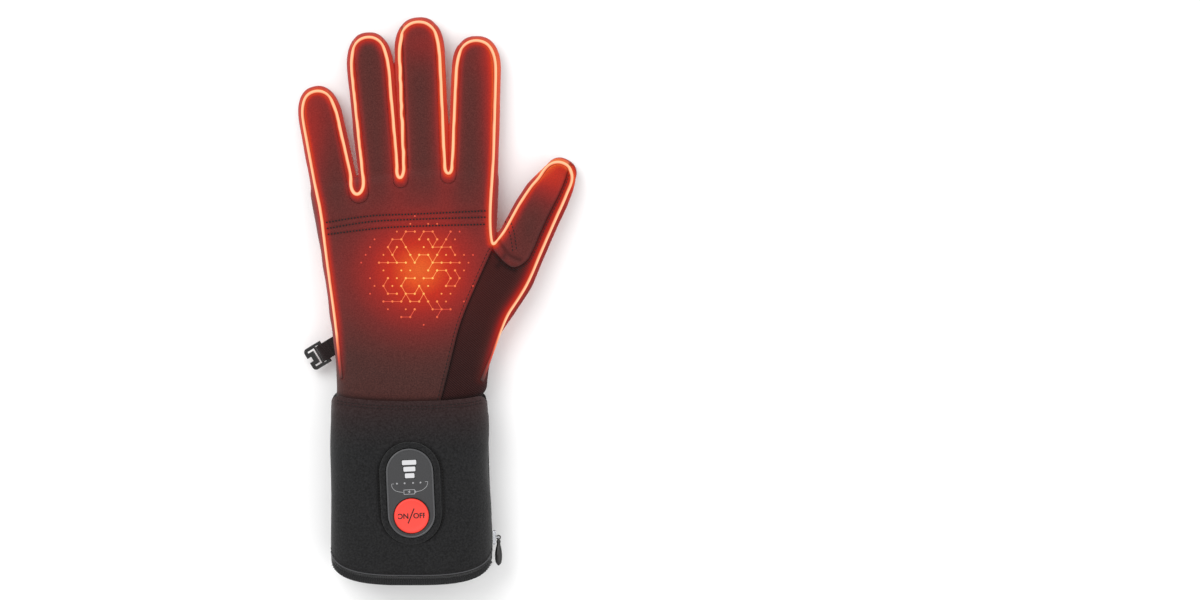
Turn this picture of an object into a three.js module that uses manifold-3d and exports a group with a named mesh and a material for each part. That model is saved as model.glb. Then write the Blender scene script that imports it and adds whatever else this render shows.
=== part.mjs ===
// A heated glove for the left hand, lying palm down, with a long cuff that holds a battery and its
// controller.
// Fingers point along +Y, the thumb along +X, and the back of the hand faces up.
// While it is made, y = 0 is the wrist seam, x = 0 the middle of the cuff and z = 0 the surface it lies on.
import * as THREE from 'three';
import { mergeVertices } from 'three/addons/utils/BufferGeometryUtils.js';
import Module from 'manifold-3d';

const wasm = await Module();
wasm.setup();

// Driving dimensions, in millimetres and degrees
const PALM_LENGTH = 124;
const HAND_WIDTH = 99;
const HAND_THICKNESS = 32;
const KNUCKLE_LINE = 85;
const FINGER_LENGTH = 123;
const FINGER_WIDTH = 28.4;
const FINGER_THICKNESS = 22;
const FINGERTIP_LENGTH = 21;
const THUMB_LENGTH = 117.5;
const THUMB_WIDTH = 28;
const THUMB_THICKNESS = 23;
const THUMB_LEAN = 27.7;
const CUFF_LENGTH = 104;
const CUFF_WIDTH = 88.5;
const CUFF_THICKNESS = 40;
const CUFF_CORNER = 18;
const CUFF_OVERLAP = 7;
const CLOTH = 2.2;
const GAP = 0.3;
const HEM_DEPTH = 5;
const ZIP_WIDTH = 2.6;
const SLIT_FROM_MIDDLE = 41;
const SLIT_WIDTH = 5;
const SLIT_BINDING = 4;
const EDGE_STRIP_WIDTH = 11;
const EDGE_STRIP_LENGTH = 54;
const STRAP_REACH = 84;
const STRAP_WIDTH = 53;
const STRAP_THICKNESS = 2.4;
const STRAP_BINDING = 4;
const STRAP_FROM_WRIST = 36.5;
const STRAP_CORNER = 9;
const STRAP_RISE = 7;
const CONTROLLER_WIDTH = 26;
const CONTROLLER_LENGTH = 49;
const CONTROLLER_THICKNESS = 5;
const CONTROLLER_PROUD = 1.4;
const CONTROLLER_TILT = 2.6;
const CONTROLLER_FROM_WRIST = 53.6;
const WELT_WIDTH = 3.2;
const WELT_PROUD = 1;
const BUTTON_RADIUS = 9.5;
const BUTTON_THICKNESS = 2.4;
const BUTTON_PROUD = 0.8;
const BUTTON_TRAVEL = 0.6;
const BUTTON_FROM_END = 12.1;
const LAMP_LENGTH = 2.6;
const LAMP_THICKNESS = 1;
const LAMP_PROUD = 0.2;
const LAMP_PITCH = 3.6;
const LAMPS_FROM_END = 7.7;
const WIRE_RADIUS = 1;
const WIRE_INSET = 3.1;
const WIRE_CLEARANCE = 0.8;
const TOUCH_TIP_LENGTH = 35;
const FOURCHETTE_LAP = 6.5;
const SLIDER_LENGTH = 8;
const SLIDER_WIDTH = 5;
const SLIDER_HEIGHT = 1.3;
const BAIL_RADIUS = 0.5;
const BAIL_LUG = 0.8;
const PULL_LENGTH = 15.5;
const PULL_WIDTH = 4;
const PULL_THICKNESS = 2.6;
const PULL_EYE_WALL = 0.6;
const WEBBING_LENGTH = 7.5;
const WEBBING_THICKNESS = 1;
const CLIP_WIDTH = 13;
const CLIP_LENGTH = 10.5;
const CLIP_THICKNESS = 2.2;
const CLIP_ARM = 1.5;
const CLIP_BAR = 2;
const CLIP_SLOT = 2.2;
const CLIP_SLOT_DEPTH = 4.4;
const CLIP_TURN = 31;
const CLIP_DROOP = 22;
const CLIP_FROM_WRIST = 27;

// How much of a rounded underside is pressed flat where it lies
const SINK = 1.6;

// A fingertip's end: how little it is still open, and the share of its thickness that doesn't close
const TIP_OPENING = 0.12;
const TIP_BLUNTNESS = 0.25;

// Where the hand's front and the thumb's tip start to close, as shares of their lengths
const HAND_CLOSES_FROM = 0.9;
const THUMB_CLOSES_FROM = 0.8;

// Height of the side seam as shares of the thickness of the hand or fingers
const SIDE_SEAM = { wrist: 0.45, knuckles: 0.55, tips: 0.45 };

// Fullness of the sections: 2 is an ellipse, more is boxier
const FINGER_FULLNESS = 2.4;
const HAND_FULLNESS = 2.7;
const CUFF_FULLNESS = 3.2;
const CUFF_END_FULLNESS = 3;
const FINGER_SIDES = 12;
const HAND_SIDES = 22;
const FORK_STEPS = 5;
const CORNER_STEPS = 7;
const WIRE_SIDES = 6;
const ROUND_SIDES = 24;
const LOOP_STEPS = 8;
const LEAST_HALF = 0.3;
const SLOPE_STEP = 0.4;
const FAR = 400;

// Fingers: root across as a share of the hand's width, lean in degrees to the little finger's side,
// reach as a share of the finger length and width as a share of the finger width
const FINGERS = [
  { name: 'little', root: -0.352, lean: 13.2, reach: 0.703, width: 0.86 },
  { name: 'ring', root: -0.146, lean: 5.2, reach: 0.935, width: 0.93 },
  { name: 'middle', root: 0.082, lean: 2.5, reach: 1, width: 1 },
  { name: 'index', root: 0.336, lean: -1.5, reach: 0.906, width: 1 },
];

// A finger's girth: place as a share of its reach, widths and thickness as shares of its own
const FINGER_SECTIONS = [
  { along: 0.02, wide: 0.95, thick: 1.12 },
  { along: 0.3, wide: 0.99, thick: 1.06 },
  { along: 0.6, wide: 0.98, thick: 1 },
  { along: 1, wide: 0.96, thick: 0.92 },
];

// How a fingertip closes, from where it starts to round off to its end
const TIP_STEPS = [0, 0.42, 0.72, 0.91, 1];

// The hand: place as a share of the palm's length, edges as shares of the hand's width,
// thickness as a share of its own, and how far the section slants forward to the index finger
const HAND_SECTIONS = [
  { along: 0.075, left: -0.418, right: 0.424, thick: 1, slant: 0 },
  { along: 0.2, left: -0.427, right: 0.437, thick: 1, slant: 0 },
  { along: 0.4, left: -0.462, right: 0.448, thick: 1.02, slant: 0 },
  { along: 0.6, left: -0.497, right: 0.456, thick: 1, slant: 0.02 },
  { along: 0.76, left: -0.523, right: 0.462, thick: 0.96, slant: 0.07 },
  { along: 0.89, left: -0.543, right: 0.468, thick: 0.9, slant: 0.14 },
  { along: 0.96, left: -0.535, right: 0.462, thick: 0.78, slant: 0.18 },
  { along: 1, left: -0.52, right: 0.45, thick: 0.46, slant: 0.2 },
];

// The thumb: place as a share of its length, sides as shares of its width, thickness as a share of its own
const THUMB_TIP = { across: 0.85, along: 1.05 };
const THUMB_SECTIONS = [
  { along: 0, left: -0.43, right: 0.5, thick: 1.1 },
  { along: 0.14, left: -0.45, right: 0.49, thick: 1.16 },
  { along: 0.31, left: -0.48, right: 0.575, thick: 1.2 },
  { along: 0.4, left: -0.5, right: 0.605, thick: 1.16 },
  { along: 0.55, left: -0.5, right: 0.545, thick: 1.08 },
  { along: 0.72, left: -0.48, right: 0.495, thick: 1 },
  { along: 0.81, left: -0.42, right: 0.48, thick: 0.95 },
  { along: 0.88, left: -0.33, right: 0.445, thick: 0.86 },
  { along: 0.94, left: -0.25, right: 0.38, thick: 0.74 },
  { along: 0.975, left: -0.17, right: 0.28, thick: 0.56 },
  { along: 0.994, left: -0.08, right: 0.16, thick: 0.36 },
  { along: 1, left: -0.01, right: 0.08, thick: 0.18 },
];

// The cuff: place as a share of its length, width and thickness as shares of its own, shift of its middle
// as a share of its width, and how far its top edge bows back over the wrist as a share of its length
const CUFF_SECTIONS = [
  { along: -1.02, wide: 1, thick: 0.98, shift: 0.003, bow: 0 },
  { along: -0.75, wide: 1, thick: 1, shift: 0.003, bow: 0 },
  { along: -0.45, wide: 0.985, thick: 1, shift: -0.008, bow: 0 },
  { along: -0.1, wide: 0.975, thick: 0.95, shift: -0.014, bow: 0.03 },
  { along: 0.016, wide: 0.96, thick: 0.9, shift: -0.016, bow: 0.05 },
];

// The wire: where it turns between two fingers and where it runs along the hand's edge, as shares of the
// palm's length, and along the thumb as shares of the thumb's
const WIRE_TURNS = [0.9, 0.966, 0.985];
const TURN_RISE = 7;
const TURN_SHAPE = [
  { across: 0.15, rise: 0.3 },
  { across: 0.5, rise: 0 },
  { across: 0.85, rise: 0.3 },
];
const STRAIGHT_RUN = 0.9;
const TIP_TURNS = 4;
const HAND_EDGE_PLACES = [0.14, 0.3, 0.5, 0.68, 0.82];
const INDEX_EDGE_PLACES = [0.82, 0.72];
const WIRE_END = 0.1;
const THUMB_EDGE_PLACES = [0.555, 0.63, 0.72, 0.82];
const THUMB_OUTER_PLACES = [0.82, 0.72, 0.55, 0.4, 0.31, 0.2];
const THUMB_ROUND_FROM = 0.86;
const THUMB_CROTCH = { across: 0.445, along: 0.645 };

// Widths of the three lamps as shares of the controller's
const LAMP_WIDTHS = [0.3, 0.25, 0.2];

// The zip's pull: place as a share of its length, width and thickness as shares of its own
const PULL_SECTIONS = [
  { along: 0.04, wide: 0.45, thick: 0.5 },
  { along: 0.2, wide: 0.55, thick: 0.6 },
  { along: 0.55, wide: 1, thick: 1 },
  { along: 0.85, wide: 0.85, thick: 0.9 },
  { along: 1, wide: 0.3, thick: 0.3 },
];

// How far the line that parts the thumb's side from the hand stands off the crotch, as shares of the hand's
// width and of the palm's length
const THUMB_PARTING = { far: 0.2, near: 0.1, along: 0.26 };
const THUMB_TIP_CUT = 1.4;

// How the webbing goes round the clip's bar: share of a half circle on each side, and how open its ends are
const WEBBING_WRAP = 0.62;
const WEBBING_MOUTH = 0.5;

// Seam lines in plan: across as a share of the hand's width, along as a share of the palm's length
const GUSSET_SEAM = [
  { across: 0.441, along: 0.63 },
  { across: 0.358, along: 0.483 },
  { across: 0.269, along: 0.315 },
  { across: 0.219, along: 0.142 },
  { across: 0.146, along: -0.09 },
];
const THUMB_BACK_SEAM = [
  { across: 0.441, along: 0.652 },
  { across: 0.552, along: 0.55 },
  { across: 0.64, along: 0.585 },
  { across: 0.675, along: 0.639 },
  { across: 0.741, along: 0.767 },
  { across: 0.853, along: 0.94 },
  { across: 0.9, along: 1.1 },
];
const THENAR_SEAM = [
  { across: 0.45, along: 0.66 },
  { across: 0.137, along: 0.49 },
  { across: 0.116, along: 0.393 },
  { across: 0.198, along: 0.224 },
  { across: 0.32, along: 0.105 },
  { across: 0.6, along: 0.02 },
];

const radians = THREE.MathUtils.degToRad;
const group = new THREE.Group();

// Solids from closed surfaces, and back
function solidOf(geometry) {
  const bare = geometry.clone();
  bare.deleteAttribute('normal');
  bare.deleteAttribute('uv');
  const merged = mergeVertices(bare, 1e-4);
  const vertProperties = new Float32Array(merged.attributes.position.array);
  const triVerts = new Uint32Array(merged.index.array);
  return new wasm.Manifold(new wasm.Mesh({ numProp: 3, vertProperties, triVerts }));
}

function geometryOf(solid) {
  const mesh = solid.getMesh();
  const geometry = new THREE.BufferGeometry();
  geometry.setAttribute('position', new THREE.BufferAttribute(mesh.vertProperties, 3));
  geometry.setIndex(new THREE.BufferAttribute(mesh.triVerts, 1));
  geometry.computeVertexNormals();
  return geometry;
}

// Closed surface through rings with the same number of points each, with flat ends
function loft(rings) {
  const sides = rings[0].length;
  const points = rings.flat();
  const faces = [];
  for (let ring = 0; ring < rings.length - 1; ring += 1) {
    for (let side = 0; side < sides; side += 1) {
      const next = (side + 1) % sides;
      const a = ring * sides + side;
      const b = ring * sides + next;
      faces.push(a, b, b + sides, a, b + sides, a + sides);
    }
  }
  const last = (rings.length - 1) * sides;
  for (let side = 1; side < sides - 1; side += 1) {
    faces.push(0, side + 1, side);
    faces.push(last, last + side, last + side + 1);
  }
  const geometry = new THREE.BufferGeometry();
  const flat = points.flatMap((point) => [point.x, point.y, point.z]);
  geometry.setAttribute('position', new THREE.Float32BufferAttribute(flat, 3));
  geometry.setIndex(faces);
  return solidOf(geometry);
}

// Value of a table's column at a place along it
function between(rows, along, column) {
  const last = rows.length - 1;
  if (along <= rows[0].along) {
    return rows[0][column];
  }
  for (let row = 1; row <= last; row += 1) {
    if (along <= rows[row].along) {
      const share = (along - rows[row - 1].along) / (rows[row].along - rows[row - 1].along);
      return THREE.MathUtils.lerp(rows[row - 1][column], rows[row][column], share);
    }
  }
  return rows[last][column];
}

function superPower(value, fullness) {
  return Math.sign(value) * Math.abs(value) ** (2 / fullness);
}

// A limb is a row of sections along a straight axis. Each has its place along the axis, its half width,
// the shift of its middle, its half height, and how far it slants.
// Its underside is cut off flat at the height of the surface it lies on.
function ringsOf(limb, inset) {
  return limb.sections.map((section) => {
    const halfWidth = Math.max(section.halfWidth - inset, LEAST_HALF);
    const halfHeight = Math.max(section.halfHeight - inset, LEAST_HALF);
    const ring = [];
    for (let side = 0; side < limb.sides; side += 1) {
      const angle = (2 * Math.PI * side) / limb.sides;
      const fullness = section.fullness ?? limb.fullness;
      const across = section.shift + halfWidth * superPower(Math.cos(angle), fullness);
      const up = section.middle + halfHeight * superPower(Math.sin(angle), fullness);
      const bow = section.bow * Math.max(0, Math.sin(angle));
      const along = section.place - section.setBack * inset + section.slant * across - bow;
      const point = limb.root.clone();
      point.addScaledVector(limb.direction, along);
      point.addScaledVector(limb.sideways, across);
      point.z = Math.max(up, section.floor + inset);
      ring.push(point);
    }
    return ring.reverse();
  });
}

function limbSolid(limb, inset = 0) {
  return loft(ringsOf(limb, inset));
}

function limbAlong(root, lean, sections, fullness, sides) {
  const direction = new THREE.Vector3(-Math.sin(radians(lean)), Math.cos(radians(lean)), 0);
  const sideways = new THREE.Vector3(direction.y, -direction.x, 0);
  return { root, direction, sideways, sections, fullness, sides };
}

function limbSection(place, left, right, thickness, extra = {}) {
  const halfHeight = thickness / 2 + SINK / 2;
  const halfWidth = (right - left) / 2;
  const shift = (right + left) / 2;
  const middle = thickness / 2 - SINK / 2;
  return { place, halfWidth, shift, halfHeight, middle, floor: 0, slant: 0, bow: 0, setBack: 0, ...extra };
}

function fingerLimb(finger) {
  const reach = finger.reach * FINGER_LENGTH;
  const halfWidth = (finger.width * FINGER_WIDTH) / 2;
  const straight = reach - FINGERTIP_LENGTH;
  const places = FINGER_SECTIONS.map((section) => section.along * straight);
  places.pop();
  TIP_STEPS.forEach((step) => places.push(straight + step * FINGERTIP_LENGTH));
  const sections = places.map((place) => {
    const share = Math.min(place / straight, 1);
    const rounding = Math.max(0, (place - straight) / FINGERTIP_LENGTH);
    const close = Math.max(Math.sqrt(Math.max(1 - rounding * rounding, 0)), TIP_OPENING);
    const closeUp = TIP_BLUNTNESS + (1 - TIP_BLUNTNESS) * close;
    const wide = halfWidth * between(FINGER_SECTIONS, share, 'wide') * close;
    const thick = FINGER_THICKNESS * between(FINGER_SECTIONS, share, 'thick') * closeUp;
    return limbSection(place, -wide, wide, thick, { setBack: rounding });
  });
  const root = new THREE.Vector3(finger.root * HAND_WIDTH, KNUCKLE_LINE, 0);
  return limbAlong(root, finger.lean, sections, FINGER_FULLNESS, FINGER_SIDES);
}

// The hand's open end sits inside the cuff
function wristSection(place) {
  const cuffTop = cuff.sections[cuff.sections.length - 1];
  const inset = CLOTH + 2 * GAP;
  return {
    ...cuffTop,
    place,
    halfWidth: cuffTop.halfWidth - inset,
    halfHeight: cuffTop.halfHeight - inset,
    floor: cuffTop.floor + CLOTH + GAP,
    fullness: cuff.fullness,
    bow: 0,
  };
}

function handLimb() {
  const sections = HAND_SECTIONS.map((row) => limbSection(
    row.along * PALM_LENGTH,
    row.left * HAND_WIDTH,
    row.right * HAND_WIDTH,
    row.thick * HAND_THICKNESS,
    { slant: row.slant, setBack: row.along > HAND_CLOSES_FROM ? 1 : 0 },
  ));
  sections.unshift(wristSection(-CUFF_OVERLAP), wristSection(cuff.sections[cuff.sections.length - 1].place));
  return limbAlong(new THREE.Vector3(0, 0, 0), 0, sections, HAND_FULLNESS, HAND_SIDES);
}

function thumbLimb() {
  const tip = planPoint(THUMB_TIP);
  const direction = new THREE.Vector3(Math.sin(radians(THUMB_LEAN)), Math.cos(radians(THUMB_LEAN)), 0);
  const root = new THREE.Vector3(tip.x, tip.y, 0).addScaledVector(direction, -THUMB_LENGTH);
  const sections = THUMB_SECTIONS.map((row) => limbSection(
    row.along * THUMB_LENGTH,
    row.left * THUMB_WIDTH,
    row.right * THUMB_WIDTH,
    row.thick * THUMB_THICKNESS,
    { setBack: Math.max(0, (row.along - THUMB_CLOSES_FROM) / (1 - THUMB_CLOSES_FROM)) },
  ));
  return limbAlong(root, -THUMB_LEAN, sections, FINGER_FULLNESS, FINGER_SIDES);
}

// The cuff lies on the strap, so its underside is higher than the hand's by the strap
function cuffLimb(outset = 0) {
  const lift = STRAP_THICKNESS + GAP;
  const sections = CUFF_SECTIONS.map((row) => {
    const halfWidth = (row.wide * CUFF_WIDTH) / 2 + outset;
    const shift = row.shift * CUFF_WIDTH;
    const thickness = row.thick * CUFF_THICKNESS;
    const section = limbSection(row.along * CUFF_LENGTH, shift - halfWidth, shift + halfWidth, thickness);
    return {
      ...section,
      halfHeight: section.halfHeight + outset,
      middle: section.middle + lift,
      floor: lift - outset,
      bow: row.bow * CUFF_LENGTH,
    };
  });
  return limbAlong(new THREE.Vector3(0, 0, 0), 0, sections, CUFF_FULLNESS, HAND_SIDES);
}

function planPoint(share) {
  return new THREE.Vector2(share.across * HAND_WIDTH, share.along * PALM_LENGTH);
}

// Point in plan at a distance across and a place along a limb's axis
function onLimb(limb, across, place) {
  const point = limb.root.clone();
  point.addScaledVector(limb.direction, place).addScaledVector(limb.sideways, across);
  return new THREE.Vector2(point.x, point.y);
}

// Section of a limb at a place along its axis, and its height there at a distance across
function sectionAt(limb, place) {
  const rows = limb.sections.map((section) => ({ along: section.place, ...section }));
  const section = {};
  ['halfWidth', 'shift', 'halfHeight', 'middle'].forEach((column) => {
    section[column] = between(rows, place, column);
  });
  return section;
}

function heightOn(limb, x, y) {
  const from = new THREE.Vector3(x, y, 0).sub(limb.root);
  const across = from.dot(limb.sideways);
  const lastSection = limb.sections[limb.sections.length - 1];
  const place = from.dot(limb.direction) - between(
    limb.sections.map((section) => ({ along: section.place, slant: section.slant })),
    from.dot(limb.direction),
    'slant',
  ) * across;
  if (place < limb.sections[0].place || place > lastSection.place) {
    return -Infinity;
  }
  const section = sectionAt(limb, place);
  const share = Math.abs(across - section.shift) / section.halfWidth;
  if (share >= 1) {
    return -Infinity;
  }
  return section.middle + section.halfHeight * (1 - share ** limb.fullness) ** (1 / limb.fullness);
}

// Prism that stands on an outline in plan, and one that runs along X on an outline of y and z
function uprightPrism(points, low = -FAR, high = FAR) {
  const options = { depth: high - low, bevelEnabled: false };
  const geometry = new THREE.ExtrudeGeometry(new THREE.Shape(points), options);
  geometry.translate(0, 0, low);
  return solidOf(geometry);
}

function sidewaysPrism(points) {
  const options = { depth: 4 * FAR, bevelEnabled: false };
  const geometry = new THREE.ExtrudeGeometry(new THREE.Shape(points), options);
  geometry.translate(0, 0, -2 * FAR);
  geometry.rotateZ(Math.PI / 2);
  geometry.rotateY(Math.PI / 2);
  return solidOf(geometry);
}

function boxSolid(low, high) {
  const size = high.clone().sub(low);
  const geometry = new THREE.BoxGeometry(size.x, size.y, size.z);
  geometry.translate((low.x + high.x) / 2, (low.y + high.y) / 2, (low.z + high.z) / 2);
  return solidOf(geometry);
}

function addPiece(name, solid, finish) {
  const mesh = new THREE.Mesh(geometryOf(solid), new THREE.MeshStandardMaterial(finish));
  mesh.name = name;
  group.add(mesh);
}

const softshell = { color: 0x3a2526, roughness: 0.9, metalness: 0 };
const grip = { color: 0x1b1b1c, roughness: 0.8, metalness: 0 };
const twill = { color: 0x2a1213, roughness: 0.9, metalness: 0 };
const neoprene = { color: 0x202021, roughness: 0.95, metalness: 0 };
const binding = { color: 0x2b2b2c, roughness: 0.9, metalness: 0 };
const touchCloth = { color: 0x262222, roughness: 0.8, metalness: 0 };
const casing = { color: 0x464647, roughness: 0.5, metalness: 0 };
const buttonRubber = { color: 0xf4594b, roughness: 0.45, metalness: 0 };
const lamp = { color: 0xf2f2f2, roughness: 0.3, metalness: 0 };
const glow = { color: 0xffa070, emissive: 0xff5a1c, roughness: 0.5, metalness: 0 };
const steel = { color: 0xb8b8ba, roughness: 0.3, metalness: 1 };
const blackPlastic = { color: 0x171717, roughness: 0.4, metalness: 0 };
const webbing = { color: 0x2c1c1c, roughness: 0.95, metalness: 0 };

// The hand's hollow shell, open at the wrist
const cuff = cuffLimb();
const fingers = FINGERS.map((finger) => ({ ...finger, limb: fingerLimb(finger) }));
const hand = handLimb();
const thumb = thumbLimb();
const limbs = [hand, thumb, ...fingers.map((finger) => finger.limb)];

function unionOf(solids) {
  return solids.reduce((sum, solid) => sum.add(solid));
}

// The hollow of a tube that is open at its start, and at its end too if asked
function openHollow(limb, openEnd) {
  const sections = limb.sections.map((section) => ({ ...section }));
  sections[0].place -= CUFF_OVERLAP;
  if (openEnd) {
    sections[sections.length - 1].place += CUFF_OVERLAP;
  }
  return limbSolid({ ...limb, sections }, CLOTH);
}

const handShape = unionOf(limbs.map((limb) => limbSolid(limb)));
const closedHollows = [thumb, ...fingers.map((finger) => finger.limb)].map((limb) => limbSolid(limb, CLOTH));
const handShell = handShape.subtract(unionOf([openHollow(hand, false), ...closedHollows]));

// The side seam follows the middle of the hand's thickness, from the wrist to the fingertips
function belowSideSeam(offset) {
  const tip = KNUCKLE_LINE + FINGER_LENGTH;
  const wristHeight = HAND_THICKNESS * SIDE_SEAM.wrist + offset;
  return sidewaysPrism([
    new THREE.Vector2(-2 * CUFF_LENGTH, -FAR),
    new THREE.Vector2(2 * tip, -FAR),
    new THREE.Vector2(2 * tip, FINGER_THICKNESS * SIDE_SEAM.tips + offset),
    new THREE.Vector2(KNUCKLE_LINE, FINGER_THICKNESS * SIDE_SEAM.knuckles + offset),
    new THREE.Vector2(0, wristHeight),
    new THREE.Vector2(-2 * CUFF_LENGTH, wristHeight),
  ]);
}

// Outline of a strip of a given width along a line in plan
function stripOutline(line, width) {
  const left = [];
  const right = [];
  line.forEach((point, index) => {
    const before = line[Math.max(index - 1, 0)];
    const after = line[Math.min(index + 1, line.length - 1)];
    const entering = point.clone().sub(before).normalize();
    const leaving = after.clone().sub(point).normalize();
    const along = entering.add(leaving).normalize();
    const side = new THREE.Vector2(-along.y, along.x).multiplyScalar(width / 2);
    left.push(point.clone().add(side));
    right.push(point.clone().sub(side));
  });
  return [...right, ...left.reverse()];
}

// Parts a solid along a line in plan, a gap apart. The inside is the side that holds the points of the rest
// of the region's outline.
function partAt(solid, line, restOfOutline) {
  const seam = uprightPrism(stripOutline(line, GAP));
  const region = uprightPrism([...line, ...restOfOutline]);
  return {
    inside: solid.intersect(region).subtract(seam),
    outside: solid.subtract(region).subtract(seam),
  };
}

// Place along a finger where its axis reaches a distance from the wrist
function placeOnFinger(finger, y) {
  return (y - KNUCKLE_LINE) / Math.cos(radians(finger.lean));
}

// Point on a finger's seam, at a distance in from the finger's edge
function seamOnFinger(finger, sign, place) {
  const limit = finger.reach * FINGER_LENGTH - FINGERTIP_LENGTH;
  const edge = sectionAt(finger.limb, Math.min(place, limit)).halfWidth;
  return onLimb(finger.limb, sign * (edge - FOURCHETTE_LAP), place);
}

// Seam round the strip between two fingers, from the left one's tip down round the fork and up to the
// right one's
function fourchetteSeam(left, right, turn) {
  const shoulder = turn * PALM_LENGTH + FOURCHETTE_LAP / 2;
  const ends = [left, right].map((finger) => finger.reach * FINGER_LENGTH - FOURCHETTE_LAP);
  const leftShoulder = seamOnFinger(left, 1, placeOnFinger(left, shoulder));
  const rightShoulder = seamOnFinger(right, -1, placeOnFinger(right, shoulder));
  const middle = leftShoulder.clone().add(rightShoulder).multiplyScalar(0.5);
  const radius = (rightShoulder.x - leftShoulder.x) / 2;
  const points = [seamOnFinger(left, 1, ends[0])];
  for (let step = 0; step <= FORK_STEPS; step += 1) {
    const angle = Math.PI * (1 + step / FORK_STEPS);
    points.push(new THREE.Vector2(middle.x + radius * Math.cos(angle), middle.y + radius * Math.sin(angle)));
  }
  points.push(seamOnFinger(right, -1, ends[1]));
  const reach = 4 * FOURCHETTE_LAP;
  points.unshift(points[0].clone().add(new THREE.Vector2(FOURCHETTE_LAP, reach)));
  points.push(points[points.length - 1].clone().add(new THREE.Vector2(-FOURCHETTE_LAP, reach)));
  return points;
}

function makeHand() {
  let rest = handShell;
  for (let index = 0; index < fingers.length - 1; index += 1) {
    const left = fingers[index];
    const right = fingers[index + 1];
    const parts = partAt(rest, fourchetteSeam(left, right, WIRE_TURNS[index]), []);
    addPiece(`fourchette_${left.name}_${right.name}`, parts.inside, softshell);
    rest = parts.outside;
  }
  const lower = rest.intersect(belowSideSeam(-GAP / 2));
  const upper = rest.subtract(belowSideSeam(GAP / 2));
  const farRight = 2 * HAND_WIDTH;
  const top = 2 * PALM_LENGTH;
  const crotch = planPoint(THUMB_CROTCH);
  const partingY = crotch.y + THUMB_PARTING.along * PALM_LENGTH;
  const thumbSide = [
    new THREE.Vector2(farRight, top),
    new THREE.Vector2(crotch.x + THUMB_PARTING.far * HAND_WIDTH, top),
    new THREE.Vector2(crotch.x + THUMB_PARTING.near * HAND_WIDTH, partingY),
  ];
  const back = partAt(upper, GUSSET_SEAM.map(planPoint), [new THREE.Vector2(farRight, -top), ...thumbSide]);
  addPiece('back_panel', back.outside, softshell);
  const thumbTop = partAt(back.inside, THUMB_BACK_SEAM.map(planPoint), thumbSide.slice(1));
  addPiece('thumb_back', thumbTop.inside, softshell);
  addPiece('twill_gusset', thumbTop.outside, twill);
  const palm = partAt(lower, THENAR_SEAM.map(planPoint), thumbSide);
  const index = fingers[fingers.length - 1];
  const indexPlace = index.reach * FINGER_LENGTH - TOUCH_TIP_LENGTH;
  const indexTip = cutTip(palm.outside, index.limb, index.width * FINGER_WIDTH + GAP, indexPlace);
  addPiece('palm_panel', indexTip.outside, grip);
  addPiece('index_touch_tip', indexTip.inside, touchCloth);
  const thumbTip = cutTip(palm.inside, thumb, THUMB_TIP_CUT * THUMB_WIDTH, THUMB_LENGTH - TOUCH_TIP_LENGTH);
  addPiece('thumb_palm', thumbTip.outside, grip);
  addPiece('thumb_touch_tip', thumbTip.inside, touchCloth);
}

function cutTip(solid, limb, width, place) {
  const corner = (across, along) => onLimb(limb, across, along);
  const line = [corner(-width / 2, place), corner(width / 2, place)];
  return partAt(solid, line, [corner(width / 2, 2 * THUMB_LENGTH), corner(-width / 2, 2 * THUMB_LENGTH)]);
}

// Height at which the cuff's back meets its palm side, along its two edges
const cuffEdgeHeight = cuff.sections[1].middle;

// Outline in plan below which the cuff ends, moved up by a distance
function cuffEnd(up) {
  const reach = CUFF_WIDTH / 2 + SLIDER_WIDTH;
  const corner = CUFF_LENGTH - CUFF_CORNER;
  const points = [new THREE.Vector2(reach, FAR), new THREE.Vector2(-reach, FAR)];
  points.push(new THREE.Vector2(-reach, up - corner));
  for (let step = 0; step <= 2 * CORNER_STEPS; step += 1) {
    const angle = Math.PI * (1 + step / (2 * CORNER_STEPS));
    const across = (CUFF_WIDTH / 2) * superPower(Math.cos(angle), CUFF_END_FULLNESS);
    const fall = CUFF_CORNER * superPower(Math.sin(angle), CUFF_END_FULLNESS);
    points.push(new THREE.Vector2(across, up - corner + fall));
  }
  points.push(new THREE.Vector2(reach, up - corner));
  return uprightPrism(points);
}

function planBox(left, right, low, high, bottom = -FAR, top = FAR) {
  return boxSolid(new THREE.Vector3(left, bottom, low), new THREE.Vector3(right, top, high));
}

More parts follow.
